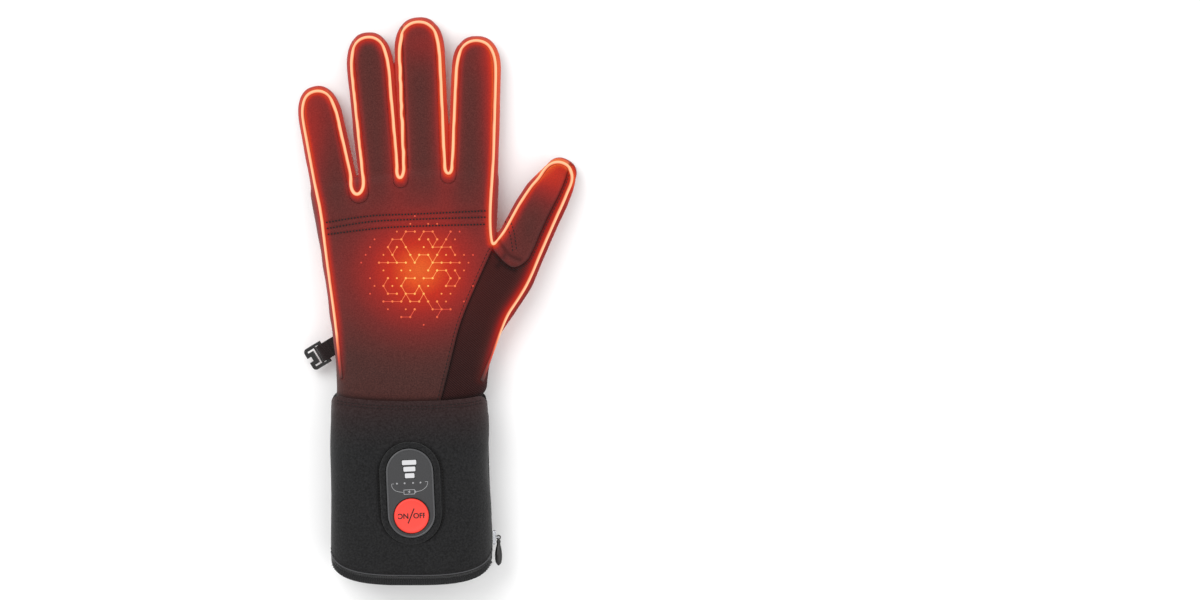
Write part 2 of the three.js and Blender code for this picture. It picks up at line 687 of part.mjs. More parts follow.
function makeCuff() {
  const shell = limbSolid(cuff).subtract(openHollow(cuff, true));
  const zipLow = HEM_DEPTH + GAP;
  const zipHigh = zipLow + ZIP_WIDTH;
  const slit = planBox(-SLIT_FROM_MIDDLE, SLIT_WIDTH - SLIT_FROM_MIDDLE, -FAR, cuffEdgeHeight);
  const ended = shell.intersect(cuffEnd(0)).subtract(slit);
  addPiece('cuff_hem', ended.subtract(cuffEnd(HEM_DEPTH)), binding);
  const body = ended.intersect(cuffEnd(zipLow));
  const bindingEdge = SLIT_WIDTH - SLIT_FROM_MIDDLE + SLIT_BINDING;
  const palmSide = body.intersect(planBox(SLIT_WIDTH - SLIT_FROM_MIDDLE, FAR, -FAR, cuffEdgeHeight - GAP));
  addPiece('slit_binding', palmSide.intersect(planBox(-FAR, bindingEdge, -FAR, FAR)), binding);
  const right = CUFF_WIDTH / 2;
  const stripSeam = [
    new THREE.Vector2(right - EDGE_STRIP_WIDTH, CUFF_OVERLAP),
    new THREE.Vector2(right - EDGE_STRIP_WIDTH, 0),
    new THREE.Vector2(right + CLOTH, -EDGE_STRIP_LENGTH),
  ];
  const sides = partAt(palmSide.intersect(planBox(bindingEdge + GAP, FAR, -FAR, FAR)), stripSeam, [
    new THREE.Vector2(2 * right, -EDGE_STRIP_LENGTH),
    new THREE.Vector2(2 * right, CUFF_OVERLAP),
  ]);
  addPiece('cuff_edge_strip', sides.inside, twill);
  addPiece('cuff_palm', sides.outside, neoprene);
  const backSide = body.subtract(planBox(SLIT_WIDTH - SLIT_FROM_MIDDLE - GAP, FAR, -FAR, cuffEdgeHeight));
  const zipBand = backSide.subtract(cuffEnd(zipHigh)).intersect(planBox(-FAR, FAR, cuffEdgeHeight, FAR));
  addPiece('zip_coil', zipBand, binding);
  addPiece('cuff_back', backSide.intersect(cuffEnd(zipHigh + GAP)).subtract(windowHole()), neoprene);
}

// The strap lies round the cuff's palm side, from its edge at the little finger to near the thumb's side
function strapOutline(inset) {
  const left = -CUFF_WIDTH;
  const right = STRAP_REACH - CUFF_WIDTH / 2 - inset;
  const top = -STRAP_FROM_WRIST - inset;
  const bottom = -STRAP_FROM_WRIST - STRAP_WIDTH + inset;
  const radius = STRAP_CORNER - inset;
  const points = [new THREE.Vector2(left, top), new THREE.Vector2(left, bottom)];
  [[bottom + radius, -Math.PI / 2], [top - radius, 0]].forEach(([middle, start]) => {
    for (let step = 0; step <= CORNER_STEPS; step += 1) {
      const angle = start + (Math.PI / 2) * (step / CORNER_STEPS);
      const x = right - radius + radius * Math.cos(angle);
      points.push(new THREE.Vector2(x, middle + radius * Math.sin(angle)));
    }
  });
  return uprightPrism(points);
}

function makeStrap() {
  const outer = limbSolid(cuffLimb(GAP + STRAP_THICKNESS));
  const band = outer.subtract(limbSolid(cuffLimb(GAP))).intersect(planBox(-FAR, FAR, -FAR, STRAP_RISE));
  const strap = band.intersect(strapOutline(0));
  addPiece('strap_binding', strap.subtract(strapOutline(STRAP_BINDING)), binding);
  addPiece('wrist_strap', strap.intersect(strapOutline(STRAP_BINDING + GAP)), neoprene);
}

// The controller's pieces are made round its middle, then turned and set into the cuff's back
const controllerTop = heightOn(cuff, 0, -CONTROLLER_FROM_WRIST) + CONTROLLER_PROUD;

function stadium(outset) {
  const radius = CONTROLLER_WIDTH / 2 + outset;
  const straight = (CONTROLLER_LENGTH - CONTROLLER_WIDTH) / 2;
  const points = [];
  [{ start: 0, middle: straight }, { start: Math.PI, middle: -straight }].forEach((end) => {
    for (let step = 0; step <= ROUND_SIDES / 2; step += 1) {
      const angle = end.start + (2 * Math.PI * step) / ROUND_SIDES;
      points.push(new THREE.Vector2(radius * Math.cos(angle), end.middle + radius * Math.sin(angle)));
    }
  });
  return points;
}

function onController(solid) {
  return solid.rotate([0, 0, CONTROLLER_TILT]).translate([0, -CONTROLLER_FROM_WRIST, 0]);
}

function windowHole() {
  return onController(uprightPrism(stadium(WELT_WIDTH + 2 * GAP), 0, FAR));
}

function roundPrism(radius, x, y, low, high) {
  const geometry = new THREE.CylinderGeometry(radius, radius, high - low, ROUND_SIDES);
  geometry.rotateX(Math.PI / 2);
  geometry.translate(x, y, (low + high) / 2);
  return solidOf(geometry);
}

function makeController() {
  const fabric = controllerTop - CONTROLLER_PROUD;
  const welt = uprightPrism(stadium(GAP + WELT_WIDTH), fabric - CLOTH, fabric + WELT_PROUD);
  addPiece('window_welt', onController(welt.subtract(uprightPrism(stadium(GAP)))), neoprene);
  let plate = uprightPrism(stadium(0), controllerTop - CONTROLLER_THICKNESS, controllerTop);
  const buttonY = BUTTON_FROM_END - CONTROLLER_LENGTH / 2;
  const pocket = controllerTop + BUTTON_PROUD - BUTTON_THICKNESS - BUTTON_TRAVEL - GAP;
  plate = plate.subtract(roundPrism(BUTTON_RADIUS + GAP, 0, buttonY, pocket, FAR));
  const buttonTop = controllerTop + BUTTON_PROUD;
  const button = roundPrism(BUTTON_RADIUS, 0, buttonY, buttonTop - BUTTON_THICKNESS, buttonTop);
  LAMP_WIDTHS.forEach((share, index) => {
    const y = CONTROLLER_LENGTH / 2 - LAMPS_FROM_END - index * LAMP_PITCH;
    const reach = (share * CONTROLLER_WIDTH) / 2;
    const top = controllerTop + LAMP_PROUD;
    const low = top - LAMP_THICKNESS;
    const lampBox = (grow, under, high) => planBox(
      -reach - grow, reach + grow, low - under, high, y - LAMP_LENGTH / 2 - grow, y + LAMP_LENGTH / 2 + grow,
    );
    plate = plate.subtract(lampBox(GAP, GAP, FAR));
    addPiece(`heat_bar_${index + 1}`, onController(lampBox(0, 0, top)), lamp);
  });
  addPiece('controller_plate', onController(plate), casing);
  addPiece('power_button', onController(button), buttonRubber);
}

// Point of the wire over the hand at a place in plan, with the direction out of the cloth there
function wirePoint(plan) {
  const height = (x, y) => Math.max(...limbs.map((limb) => heightOn(limb, x, y)));
  const step = SLOPE_STEP;
  const here = height(plan.x, plan.y);
  const slopeX = (height(plan.x + step, plan.y) - height(plan.x - step, plan.y)) / (2 * step);
  const slopeY = (height(plan.x, plan.y + step) - height(plan.x, plan.y - step)) / (2 * step);
  const outward = new THREE.Vector3(-slopeX, -slopeY, 1).normalize();
  const centre = new THREE.Vector3(plan.x, plan.y, here);
  centre.addScaledVector(outward, WIRE_RADIUS + WIRE_CLEARANCE);
  return { centre, outward };
}

// Point in plan at a distance in from a limb's edge
function insideEdge(limb, sign, place) {
  const section = sectionAt(limb, place);
  const across = section.shift + sign * (section.halfWidth - WIRE_INSET);
  return onLimb(limb, across, place);
}

function roundTip(limb, straight, tipLength) {
  const section = sectionAt(limb, straight);
  const points = [];
  for (let step = 0; step <= 2 * TIP_TURNS; step += 1) {
    const angle = Math.PI * (1 - step / (2 * TIP_TURNS));
    const across = section.shift + (section.halfWidth - WIRE_INSET) * Math.cos(angle);
    const place = straight + (tipLength - WIRE_INSET) * Math.sin(angle);
    points.push(onLimb(limb, across, place));
  }
  return points;
}

// The wire's route in plan: up the little finger's edge of the hand, round each finger and down the thumb
function wireRoute() {
  const route = HAND_EDGE_PLACES.map((share) => insideEdge(hand, -1, share * PALM_LENGTH));
  fingers.forEach((finger, index) => {
    const straight = finger.reach * FINGER_LENGTH - FINGERTIP_LENGTH;
    const startOf = (turn) => placeOnFinger(finger, turn * PALM_LENGTH + TURN_RISE);
    const up = index === 0 ? WIRE_TURNS[0] : WIRE_TURNS[index - 1];
    const down = WIRE_TURNS[Math.min(index, WIRE_TURNS.length - 1)];
    const climb = [startOf(up), (startOf(up) + straight) / 2, STRAIGHT_RUN * straight];
    climb.forEach((place) => route.push(insideEdge(finger.limb, -1, place)));
    roundTip(finger.limb, straight, FINGERTIP_LENGTH).forEach((point) => route.push(point));
    const fall = [STRAIGHT_RUN * straight, (startOf(down) + straight) / 2, startOf(down)];
    fall.forEach((place) => route.push(insideEdge(finger.limb, 1, place)));
    if (index < WIRE_TURNS.length) {
      const last = route[route.length - 1];
      const next = fingers[index + 1];
      const far = insideEdge(next.limb, -1, placeOnFinger(next, down * PALM_LENGTH + TURN_RISE));
      TURN_SHAPE.forEach((row) => {
        const x = THREE.MathUtils.lerp(last.x, far.x, row.across);
        route.push(new THREE.Vector2(x, down * PALM_LENGTH + row.rise * TURN_RISE));
      });
    }
  });
  INDEX_EDGE_PLACES.forEach((share) => route.push(insideEdge(hand, 1, share * PALM_LENGTH)));
  const crotch = planPoint(THUMB_CROTCH);
  route.push(crotch.clone());
  THUMB_EDGE_PLACES.forEach((share) => route.push(insideEdge(thumb, -1, share * THUMB_LENGTH)));
  const straight = THUMB_ROUND_FROM * THUMB_LENGTH;
  roundTip(thumb, straight, THUMB_LENGTH - straight).forEach((point) => route.push(point));
  THUMB_OUTER_PLACES.forEach((share) => route.push(insideEdge(thumb, 1, share * THUMB_LENGTH)));
  route.push(insideEdge(hand, 1, WIRE_END * PALM_LENGTH));
  return route;
}

function makeWire() {
  const stations = wireRoute().map(wirePoint);
  const rings = stations.map((station, index) => {
    const before = stations[Math.max(index - 1, 0)].centre;
    const after = stations[Math.min(index + 1, stations.length - 1)].centre;
    const along = after.clone().sub(before).normalize();
    const sideways = along.clone().cross(station.outward).normalize();
    const outward = sideways.clone().cross(along);
    const ring = [];
    for (let side = 0; side < WIRE_SIDES; side += 1) {
      const angle = (2 * Math.PI * side) / WIRE_SIDES;
      const point = station.centre.clone();
      point.addScaledVector(sideways, WIRE_RADIUS * Math.cos(angle));
      point.addScaledVector(outward, WIRE_RADIUS * Math.sin(angle));
      ring.push(point);
    }
    return ring.reverse();
  });
  addPiece('heating_wire', loft(rings), glow);
}

// The zip's slider sits on the cuff's side at the zip's end. Its bail is a bar between two lugs
const sliderY = HEM_DEPTH + ZIP_WIDTH - (CUFF_LENGTH - CUFF_CORNER);
const sliderSection = sectionAt(cuff, sliderY);
const sliderX = sliderSection.shift + sliderSection.halfWidth + GAP;
const sliderZ = cuffEdgeHeight + SLIDER_WIDTH / 4;
const eyeRadius = BAIL_RADIUS + GAP + PULL_EYE_WALL;
const bailX = sliderX + SLIDER_HEIGHT + GAP + eyeRadius;
const lugZ = SLIDER_WIDTH / 2 - BAIL_LUG;

function makeZip() {
  const top = sliderX + SLIDER_HEIGHT;
  const low = new THREE.Vector3(sliderX, sliderY - SLIDER_LENGTH / 2, sliderZ - SLIDER_WIDTH / 2);
  const high = new THREE.Vector3(top, sliderY + SLIDER_LENGTH / 2, sliderZ + SLIDER_WIDTH / 2);
  let slider = boxSolid(low, high);
  [-1, 1].forEach((side) => {
    const near = sliderZ + side * lugZ;
    const far = near + side * BAIL_LUG;
    slider = slider.add(boxSolid(
      new THREE.Vector3(sliderX, sliderY - eyeRadius, Math.min(near, far)),
      new THREE.Vector3(bailX + BAIL_RADIUS, sliderY + eyeRadius, Math.max(near, far)),
    ));
  });
  slider = slider.add(roundPrism(BAIL_RADIUS, bailX, sliderY, sliderZ - lugZ - GAP, sliderZ + lugZ + GAP));
  addPiece('zip_slider', slider, steel);
  const eyeHalf = lugZ - GAP;
  const neck = PULL_SECTIONS.map((row) => {
    const ring = [];
    for (let side = 0; side < FINGER_SIDES; side += 1) {
      const angle = (2 * Math.PI * side) / FINGER_SIDES;
      ring.push(new THREE.Vector3(
        bailX + ((row.wide * PULL_WIDTH) / 2) * Math.cos(angle),
        sliderY - row.along * PULL_LENGTH,
        sliderZ + ((row.thick * PULL_THICKNESS) / 2) * Math.sin(angle),
      ));
    }
    return ring;
  });
  const eye = roundPrism(eyeRadius, bailX, sliderY, sliderZ - eyeHalf, sliderZ + eyeHalf);
  const hole = roundPrism(BAIL_RADIUS + GAP, bailX, sliderY, -FAR, FAR);
  addPiece('zip_pull', loft(neck).add(eye).subtract(hole), blackPlastic);
}

// The clip and the webbing that holds its bar are made lying flat, pointing along +Y from the hand's edge
function onClip(solid) {
  const section = sectionAt(hand, CLIP_FROM_WRIST);
  const edge = section.shift - section.halfWidth;
  const turned = solid.rotate([-CLIP_DROOP, 0, 0]).rotate([0, 0, 90 + CLIP_TURN]);
  return turned.translate([edge, CLIP_FROM_WRIST, section.middle]);
}

function lyingPrism(outline, holes, low, high) {
  const shape = new THREE.Shape(THREE.ShapeUtils.isClockWise(outline) ? outline.reverse() : outline);
  holes.forEach((hole) => shape.holes.push(new THREE.Path(hole)));
  const geometry = new THREE.ExtrudeGeometry(shape, { depth: high - low, bevelEnabled: false });
  geometry.translate(0, 0, low);
  return solidOf(geometry);
}

function makeClip() {
  const webbingWidth = CLIP_WIDTH - 2 * CLIP_ARM - 2 * GAP;
  const inner = Math.hypot(CLIP_BAR / 2, CLIP_THICKNESS / 2) + GAP;
  const outer = inner + WEBBING_THICKNESS;
  const loop = (radius, back) => {
    const mouth = radius * WEBBING_MOUTH;
    const points = [new THREE.Vector2(back, -mouth), new THREE.Vector2(back, mouth)];
    for (let step = 0; step <= LOOP_STEPS; step += 1) {
      const angle = Math.PI * WEBBING_WRAP * (1 - (2 * step) / LOOP_STEPS);
      points.push(new THREE.Vector2(WEBBING_LENGTH + radius * Math.cos(angle), radius * Math.sin(angle)));
    }
    return points;
  };
  const insideLoop = loop(inner, WEBBING_LENGTH - 2 * inner);
  const side = lyingPrism(loop(outer, -2 * outer), [insideLoop], 0, webbingWidth);
  const webbingSolid = side.rotate([90, 0, 90]).translate([-webbingWidth / 2, 0, 0]);
  const clear = limbSolid(hand, -GAP);
  addPiece('webbing_loop', onClip(webbingSolid).subtract(clear), webbing);

  const half = CLIP_WIDTH / 2;
  const start = WEBBING_LENGTH - CLIP_BAR / 2;
  const window = WEBBING_LENGTH + CLIP_BAR / 2;
  const end = WEBBING_LENGTH + CLIP_LENGTH;
  const round = CLIP_ARM;
  const slot = CLIP_SLOT / 2;
  const outline = [
    [-half, start], [half, start], [half, end - round], [half - round, end], [slot, end],
    [slot, end - CLIP_SLOT_DEPTH], [-slot, end - CLIP_SLOT_DEPTH], [-slot, end], [round - half, end],
    [-half, end - round],
  ].map(([x, y]) => new THREE.Vector2(x, y));
  const reach = half - CLIP_ARM;
  const windowEnd = window + WEBBING_THICKNESS + 2 * GAP + inner - CLIP_BAR / 2;
  const opening = [[-reach, window], [reach, window], [reach, windowEnd], [-reach, windowEnd]];
  const hole = opening.map(([x, y]) => new THREE.Vector2(x, y));
  const hook = lyingPrism(outline, [hole], -CLIP_THICKNESS / 2, CLIP_THICKNESS / 2);
  addPiece('clip_hook', onClip(hook), blackPlastic);
}

makeHand();
makeCuff();
makeStrap();
makeController();
makeWire();
makeZip();
makeClip();

// Moves the whole glove so that its origin is in the middle of its underside
const extent = new THREE.Box3().setFromObject(group);
group.position.set(-(extent.min.x + extent.max.x) / 2, -(extent.min.y + extent.max.y) / 2, -extent.min.z);

export default group;
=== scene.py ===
import math
import bpy
import numpy as np
import openvdb
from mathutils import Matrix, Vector
from mathutils.bvhtree import BVHTree
from mathutils.geometry import tessellate_polygon


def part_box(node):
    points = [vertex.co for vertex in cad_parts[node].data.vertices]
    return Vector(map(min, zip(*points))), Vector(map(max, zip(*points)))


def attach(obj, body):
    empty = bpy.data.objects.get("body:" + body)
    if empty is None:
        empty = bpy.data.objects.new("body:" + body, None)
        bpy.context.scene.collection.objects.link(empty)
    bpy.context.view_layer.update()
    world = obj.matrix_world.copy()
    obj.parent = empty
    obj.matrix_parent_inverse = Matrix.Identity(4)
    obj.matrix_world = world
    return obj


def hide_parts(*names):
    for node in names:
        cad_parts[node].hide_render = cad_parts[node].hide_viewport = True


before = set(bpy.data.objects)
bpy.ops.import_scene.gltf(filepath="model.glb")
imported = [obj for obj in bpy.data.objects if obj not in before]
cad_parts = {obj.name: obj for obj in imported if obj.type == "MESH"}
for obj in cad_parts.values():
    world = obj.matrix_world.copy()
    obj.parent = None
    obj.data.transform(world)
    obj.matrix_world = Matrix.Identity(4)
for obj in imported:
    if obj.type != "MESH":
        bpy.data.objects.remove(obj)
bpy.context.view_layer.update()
random = np.random.default_rng(7)

# Main sizes of the hand
PALM_LENGTH = 124
HAND_WIDTH = 99
HAND_THICKNESS = 32
KNUCKLE_LINE = 85
FINGER_LENGTH = 123
FINGER_WIDTH = 28.4
FINGER_THICKNESS = 22
FINGERTIP_LENGTH = 21
THUMB_LENGTH = 117.5
THUMB_WIDTH = 28
THUMB_THICKNESS = 23
THUMB_LEAN = 27.7
SINK = 1.6
GRIP_HEIGHT = 0.35
TOUCH_TIP_LENGTH = 35
FOURCHETTE_LAP = 5
FORK_LAP = 4.4

# Main sizes of the cuff and what is on it
CUFF_LENGTH = 104
CUFF_WIDTH = 88.5
CUFF_THICKNESS = 40
CUFF_CORNER = 18
CUFF_OVERLAP = 7
CLOTH = 2.2
GAP = 0.3
HEM_DEPTH = 3.2
ZIP_WIDTH = 1.7
SLIT_EDGE = -36
SLIT_BINDING = 4
EDGE_STRIP_WIDTH = 11
EDGE_STRIP_LENGTH = 54
STRAP_REACH = 84
STRAP_WIDTH = 53
STRAP_THICKNESS = 2.4
STRAP_BINDING = 4
STRAP_FROM_WRIST = 36.5
STRAP_CORNER = 9
STRAP_RISE = 7
CONTROLLER_WIDTH = 26
CONTROLLER_LENGTH = 49
CONTROLLER_TILT = 2.6
CONTROLLER_FROM_WRIST = 53.6
BUTTON_FROM_END = 12.1
BUTTON_RADIUS = 9.5
WIRE_INSET = 3.1
WIRE_RADIUS = 1
CLOTH_SHOWN = 1.7

STEP = 0.85
HAND_FULLNESS = 2.7
FINGER_FULLNESS = 2.4
CUFF_FULLNESS = 3.2
TIP_FULLNESS = 2.4
SEAM_GAP = 0.12

FINGERS = [
    {"name": "little", "root": -0.37, "lean": 11.6, "reach": 0.703, "width": 0.9, "base": 1.04},
    {"name": "ring", "root": -0.14, "lean": 5.5, "reach": 0.935, "width": 0.95, "base": 0.88},
    {"name": "middle", "root": 0.087, "lean": 2.5, "reach": 1, "width": 1.02, "base": 0.96},
    {"name": "index", "root": 0.325, "lean": -1.9, "reach": 0.916, "width": 1, "base": 0.99},
]

# A finger's girth: place as a share of its reach, width and thickness as shares of its own
FINGER_SECTIONS = [
    {"along": 0.02, "wide": 0.95, "thick": 1.12},
    {"along": 0.3, "wide": 0.99, "thick": 1.06},
    {"along": 0.6, "wide": 0.98, "thick": 1},
    {"along": 1, "wide": 0.96, "thick": 0.92},
]

# The hand: place as a share of the palm's length, edges as shares of the hand's width
HAND_SECTIONS = [
    {"along": 0.03, "left": -0.414, "right": 0.417, "thick": 1.1, "slant": 0},
    {"along": 0.1, "left": -0.42, "right": 0.422, "thick": 1.04, "slant": 0},
    {"along": 0.2, "left": -0.427, "right": 0.437, "thick": 1, "slant": 0},
    {"along": 0.4, "left": -0.462, "right": 0.448, "thick": 1.02, "slant": 0},
    {"along": 0.6, "left": -0.497, "right": 0.456, "thick": 1, "slant": 0.02},
    {"along": 0.76, "left": -0.523, "right": 0.448, "thick": 0.96, "slant": 0.07},
    {"along": 0.89, "left": -0.543, "right": 0.45, "thick": 0.87, "slant": 0.14},
    {"along": 1, "left": -0.545, "right": 0.44, "thick": 0.79, "slant": 0.2},
]

# The thumb: place as a share of its length, sides as shares of its width
THUMB_TIP = (0.85, 1.05)
THUMB_SECTIONS = [
    {"along": 0, "left": -0.43, "right": 0.5, "thick": 1.1},
    {"along": 0.14, "left": -0.45, "right": 0.49, "thick": 1.16},
    {"along": 0.31, "left": -0.48, "right": 0.575, "thick": 1.2},
    {"along": 0.4, "left": -0.47, "right": 0.605, "thick": 1.16},
    {"along": 0.55, "left": -0.468, "right": 0.545, "thick": 1.08},
    {"along": 0.72, "left": -0.46, "right": 0.495, "thick": 1},
    {"along": 0.81, "left": -0.42, "right": 0.48, "thick": 0.95},
    {"along": 0.88, "left": -0.33, "right": 0.445, "thick": 0.86},
    {"along": 0.94, "left": -0.25, "right": 0.38, "thick": 0.74},
]

# The cuff: place as a share of its length, width and thickness as shares of its own, and its middle's shift
CUFF_SECTIONS = [
    {"along": -1.02, "wide": 1, "thick": 0.98, "shift": 0.003},
    {"along": -0.75, "wide": 1, "thick": 1, "shift": 0.003},
    {"along": -0.45, "wide": 0.985, "thick": 1, "shift": -0.008},
    {"along": -0.1, "wide": 0.975, "thick": 0.95, "shift": -0.014},
    {"along": 0.016, "wide": 0.96, "thick": 0.9, "shift": -0.016},
]

# Seam lines in plan: across as a share of the hand's width, along as a share of the palm's length
GUSSET_SEAM = [(0.441, 0.63), (0.358, 0.483), (0.269, 0.315), (0.219, 0.142), (0.146, -0.09)]
THUMB_BACK_SEAM = [(0.441, 0.652), (0.552, 0.55), (0.64, 0.585), (0.675, 0.639), (0.741, 0.767)]
THUMB_BACK_SEAM += [(0.853, 0.94), (0.9, 1.1)]
THENAR_SEAM = [(0.45, 0.66), (0.137, 0.49), (0.116, 0.393), (0.198, 0.224), (0.32, 0.105), (0.6, 0.02)]
KNUCKLE_ROWS = [
    [(-0.47, 0.763), (-0.231, 0.794), (0.002, 0.798), (0.407, 0.814)],
    [(-0.465, 0.736), (-0.231, 0.768), (0.002, 0.776), (0.407, 0.786)],
    [(-0.46, 0.71), (-0.153, 0.741), (0.12, 0.748), (0.402, 0.754)],
]
THUMB_CROTCH = (0.445, 0.645)
WIRE_TURNS = [0.882, 0.951, 0.97]
TURN_RISE = 7
TOP_CORNER = 5
HEAT_CENTRE = (0.045, 0.55)


# Places in plan, and lines through them
def plan(share):
    return np.array([share[0] * HAND_WIDTH, share[1] * PALM_LENGTH])


def plan_line(shares):
    return np.array([plan(share) for share in shares])


def lengths_along(line):
    steps = np.linalg.norm(np.diff(line, axis=0), axis=1)
    return np.concatenate([[0], np.cumsum(steps)])


def even(line, pitch):
    """Points a pitch apart along a line."""
    places = lengths_along(line)
    count = max(int(round(places[-1] / pitch)), 1)
    wanted = np.linspace(0, places[-1], count + 1)
    return np.stack([np.interp(wanted, places, line[:, axis]) for axis in range(line.shape[1])], 1)


def rounded(line, pitch=0.8, passes=2):
    """The line with its corners cut off, again and again, then in even steps."""
    for _ in range(passes):
        near = 0.75 * line[:-1] + 0.25 * line[1:]
        far = 0.25 * line[:-1] + 0.75 * line[1:]
        inner = np.stack([near, far], 1).reshape(-1, line.shape[1])
        line = np.concatenate([line[:1], inner[1:-1], line[-1:]])
    return even(line, pitch)


def distance_to(points, line):
    """Distance in plan of each point to a line."""
    nearest = np.full(points.shape[:-1], np.inf)
    for start, end in zip(line[:-1], line[1:]):
        edge = end - start
        share = np.clip(((points - start) @ edge) / max(edge @ edge, 1e-9), 0, 1)
        away = points - start - share[..., None] * edge
        nearest = np.minimum(nearest, np.hypot(away[..., 0], away[..., 1]))
    return nearest


def inside_by(points, outline):
    """Distance in plan of each point to an outline, positive inside it."""
    x, y = points[:, 0], points[:, 1]
    inside = np.zeros(len(points), bool)
    ends = np.roll(outline, -1, 0)
    for start, end in zip(outline, ends):
        rise = end[1] - start[1]
        if abs(rise) > 1e-9:
            crossing = start[0] + (y - start[1]) * (end[0] - start[0]) / rise
            inside ^= ((start[1] <= y) != (end[1] <= y)) & (x < crossing)
    far = distance_to(points, np.vstack([outline, outline[:1]]))
    return np.where(inside, far, -far)


# Limbs: rows of sections along a straight axis
def softened(values, width):
    kernel = np.hanning(width + 2)[1:-1]
    padded = np.pad(values, width, mode="edge")
    return np.convolve(padded, kernel / kernel.sum(), mode="same")[width:-width]


def make_limb(root, lean, sections, fullness, start_round, tip=None, soften=8):
    turn = math.radians(lean)
    places = np.array([section["place"] for section in sections])
    fine = np.linspace(places[0], places[-1], 500)
    width = max(int(soften / (fine[1] - fine[0])), 3)
    columns = {}
    for name in sections[0]:
        values = np.array([section[name] for section in sections], float)
        columns[name] = softened(np.interp(fine, places, values), width)
    return {
        "root": np.array(root, float),
        "ahead": np.array([-math.sin(turn), math.cos(turn)]),
        "aside": np.array([math.cos(turn), math.sin(turn)]),
        "fine": fine,
        "columns": columns,
        "fullness": fullness,
        "start_round": start_round,
        "tip": tip or (places[-1], 2.5),
    }


def column(limb, name, place):
    return np.interp(place, limb["fine"], limb["columns"][name])


def section(place, left, right, thickness, slant=0.0):
    return {
        "place": place,
        "half_width": (right - left) / 2,
        "shift": (right + left) / 2,
        "half_height": thickness / 2 + SINK / 2,
        "middle": thickness / 2 - SINK / 2,
        "slant": slant,
    }


def table_value(rows, along, name):
    return np.interp(along, [row["along"] for row in rows], [row[name] for row in rows])


def finger_limb(finger):
    reach = finger["reach"] * FINGER_LENGTH
    straight = reach - FINGERTIP_LENGTH
    sections = []
    for share in np.linspace(0, 1, 6):
        width = finger["width"] * (finger["base"] * (1 - share) + share) * FINGER_WIDTH
        half = width / 2 * table_value(FINGER_SECTIONS, share, "wide")
        thick = FINGER_THICKNESS * table_value(FINGER_SECTIONS, share, "thick")
        sections.append(section(share * straight, -half, half, thick))
    root = (finger["root"] * HAND_WIDTH, KNUCKLE_LINE)
    return make_limb(root, finger["lean"], sections, FINGER_FULLNESS, 12, (straight, FINGERTIP_LENGTH))


def cuff_sections(outset=0.0):
    lift = STRAP_THICKNESS + GAP
    sections = []
    for row in CUFF_SECTIONS:
        half = row["wide"] * CUFF_WIDTH / 2 + outset
        shift = row["shift"] * CUFF_WIDTH
        made = section(row["along"] * CUFF_LENGTH, shift - half, shift + half, row["thick"] * CUFF_THICKNESS)
        made["half_height"] += outset
        made["middle"] += lift
        sections.append(made)
    return sections


def hand_limb():
    top = cuff_sections()[-1]
    inset = CLOTH + 2 * GAP
    wrist = dict(top, half_width=top["half_width"] - inset, half_height=top["half_height"] - inset)
    sections = [dict(wrist, place=-CUFF_OVERLAP), dict(wrist, place=-1)]
    for row in HAND_SECTIONS:
        sections.append(section(
            row["along"] * PALM_LENGTH,
            row["left"] * HAND_WIDTH,
            row["right"] * HAND_WIDTH,
            row["thick"] * HAND_THICKNESS,
            row["slant"],
        ))
    return make_limb((0, 0), 0, sections, HAND_FULLNESS, None, (PALM_LENGTH - 7, 8.5), 4)


def thumb_limb():
    lean = math.radians(THUMB_LEAN)
    root = plan(THUMB_TIP) - THUMB_LENGTH * np.array([math.sin(lean), math.cos(lean)])
    sections = [section(
        row["along"] * THUMB_LENGTH,
        row["left"] * THUMB_WIDTH,
        row["right"] * THUMB_WIDTH,
        row["thick"] * THUMB_THICKNESS,
    ) for row in THUMB_SECTIONS]
    return make_limb(root, -THUMB_LEAN, sections, FINGER_FULLNESS, 10, (0.915 * THUMB_LENGTH, 0.085 * THUMB_LENGTH), 4)


hand = hand_limb()
thumb = thumb_limb()
fingers = [finger_limb(finger) for finger in FINGERS]
cuff = make_limb((0, 0), 0, cuff_sections(), CUFF_FULLNESS, None, (CUFF_LENGTH, 1))
CUFF_EDGE = cuff_sections()[1]["middle"]


def on_limb(limb, across, place):
    return limb["root"] + place * limb["ahead"] + across * limb["aside"]


def inside_edge(limb, sign, place, inset=WIRE_INSET):
    edge = column(limb, "half_width", place) - inset
    return on_limb(limb, column(limb, "shift", place) + sign * edge, place)


# Volumes: distance fields of the limbs on a grid, and the surfaces drawn out of them
def make_grid(low, high):
    axes = [np.arange(low[axis], high[axis], STEP) for axis in range(3)]
    return axes[0][:, None, None], axes[1][None, :, None], axes[2][None, None, :]


def limb_field(limb, grid, outset=0.0):
    x, y, z = grid
    from_x, from_y = x - limb["root"][0], y - limb["root"][1]
    along = from_x * limb["ahead"][0] + from_y * limb["ahead"][1]
    across = from_x * limb["aside"][0] + from_y * limb["aside"][1]
    place = along - column(limb, "slant", along) * np.minimum(across, 0)
    half_width = column(limb, "half_width", place) + outset
    half_height = column(limb, "half_height", place) + outset
    wide = np.abs(across - column(limb, "shift", place)) / half_width
    tall = np.abs(z - column(limb, "middle", place)) / half_height
    power = limb["fullness"]
    girth = (wide ** power + tall ** power) ** (1 / power)
    straight, tip_length = limb["tip"]
    closing = np.clip((place - straight) / tip_length, 0, None)
    if limb["start_round"]:
        closing = closing + np.clip(-place / limb["start_round"], 0, None)
    closed = (girth ** TIP_FULLNESS + closing ** TIP_FULLNESS) ** (1 / TIP_FULLNESS)
    return (closed - 1) * half_height


def joined(one, other, softness):
    share = np.clip(0.5 + 0.5 * (other - one) / softness, 0, 1)
    return other * (1 - share) + one * share - softness * share * (1 - share)


def cut_off(one, other, softness):
    return -joined(-one, -other, softness)


def true_distance(field):
    slopes = np.gradient(field, STEP)
    slope = np.sqrt(sum(part * part for part in slopes))
    return field / np.clip(slope, 0.2, None)


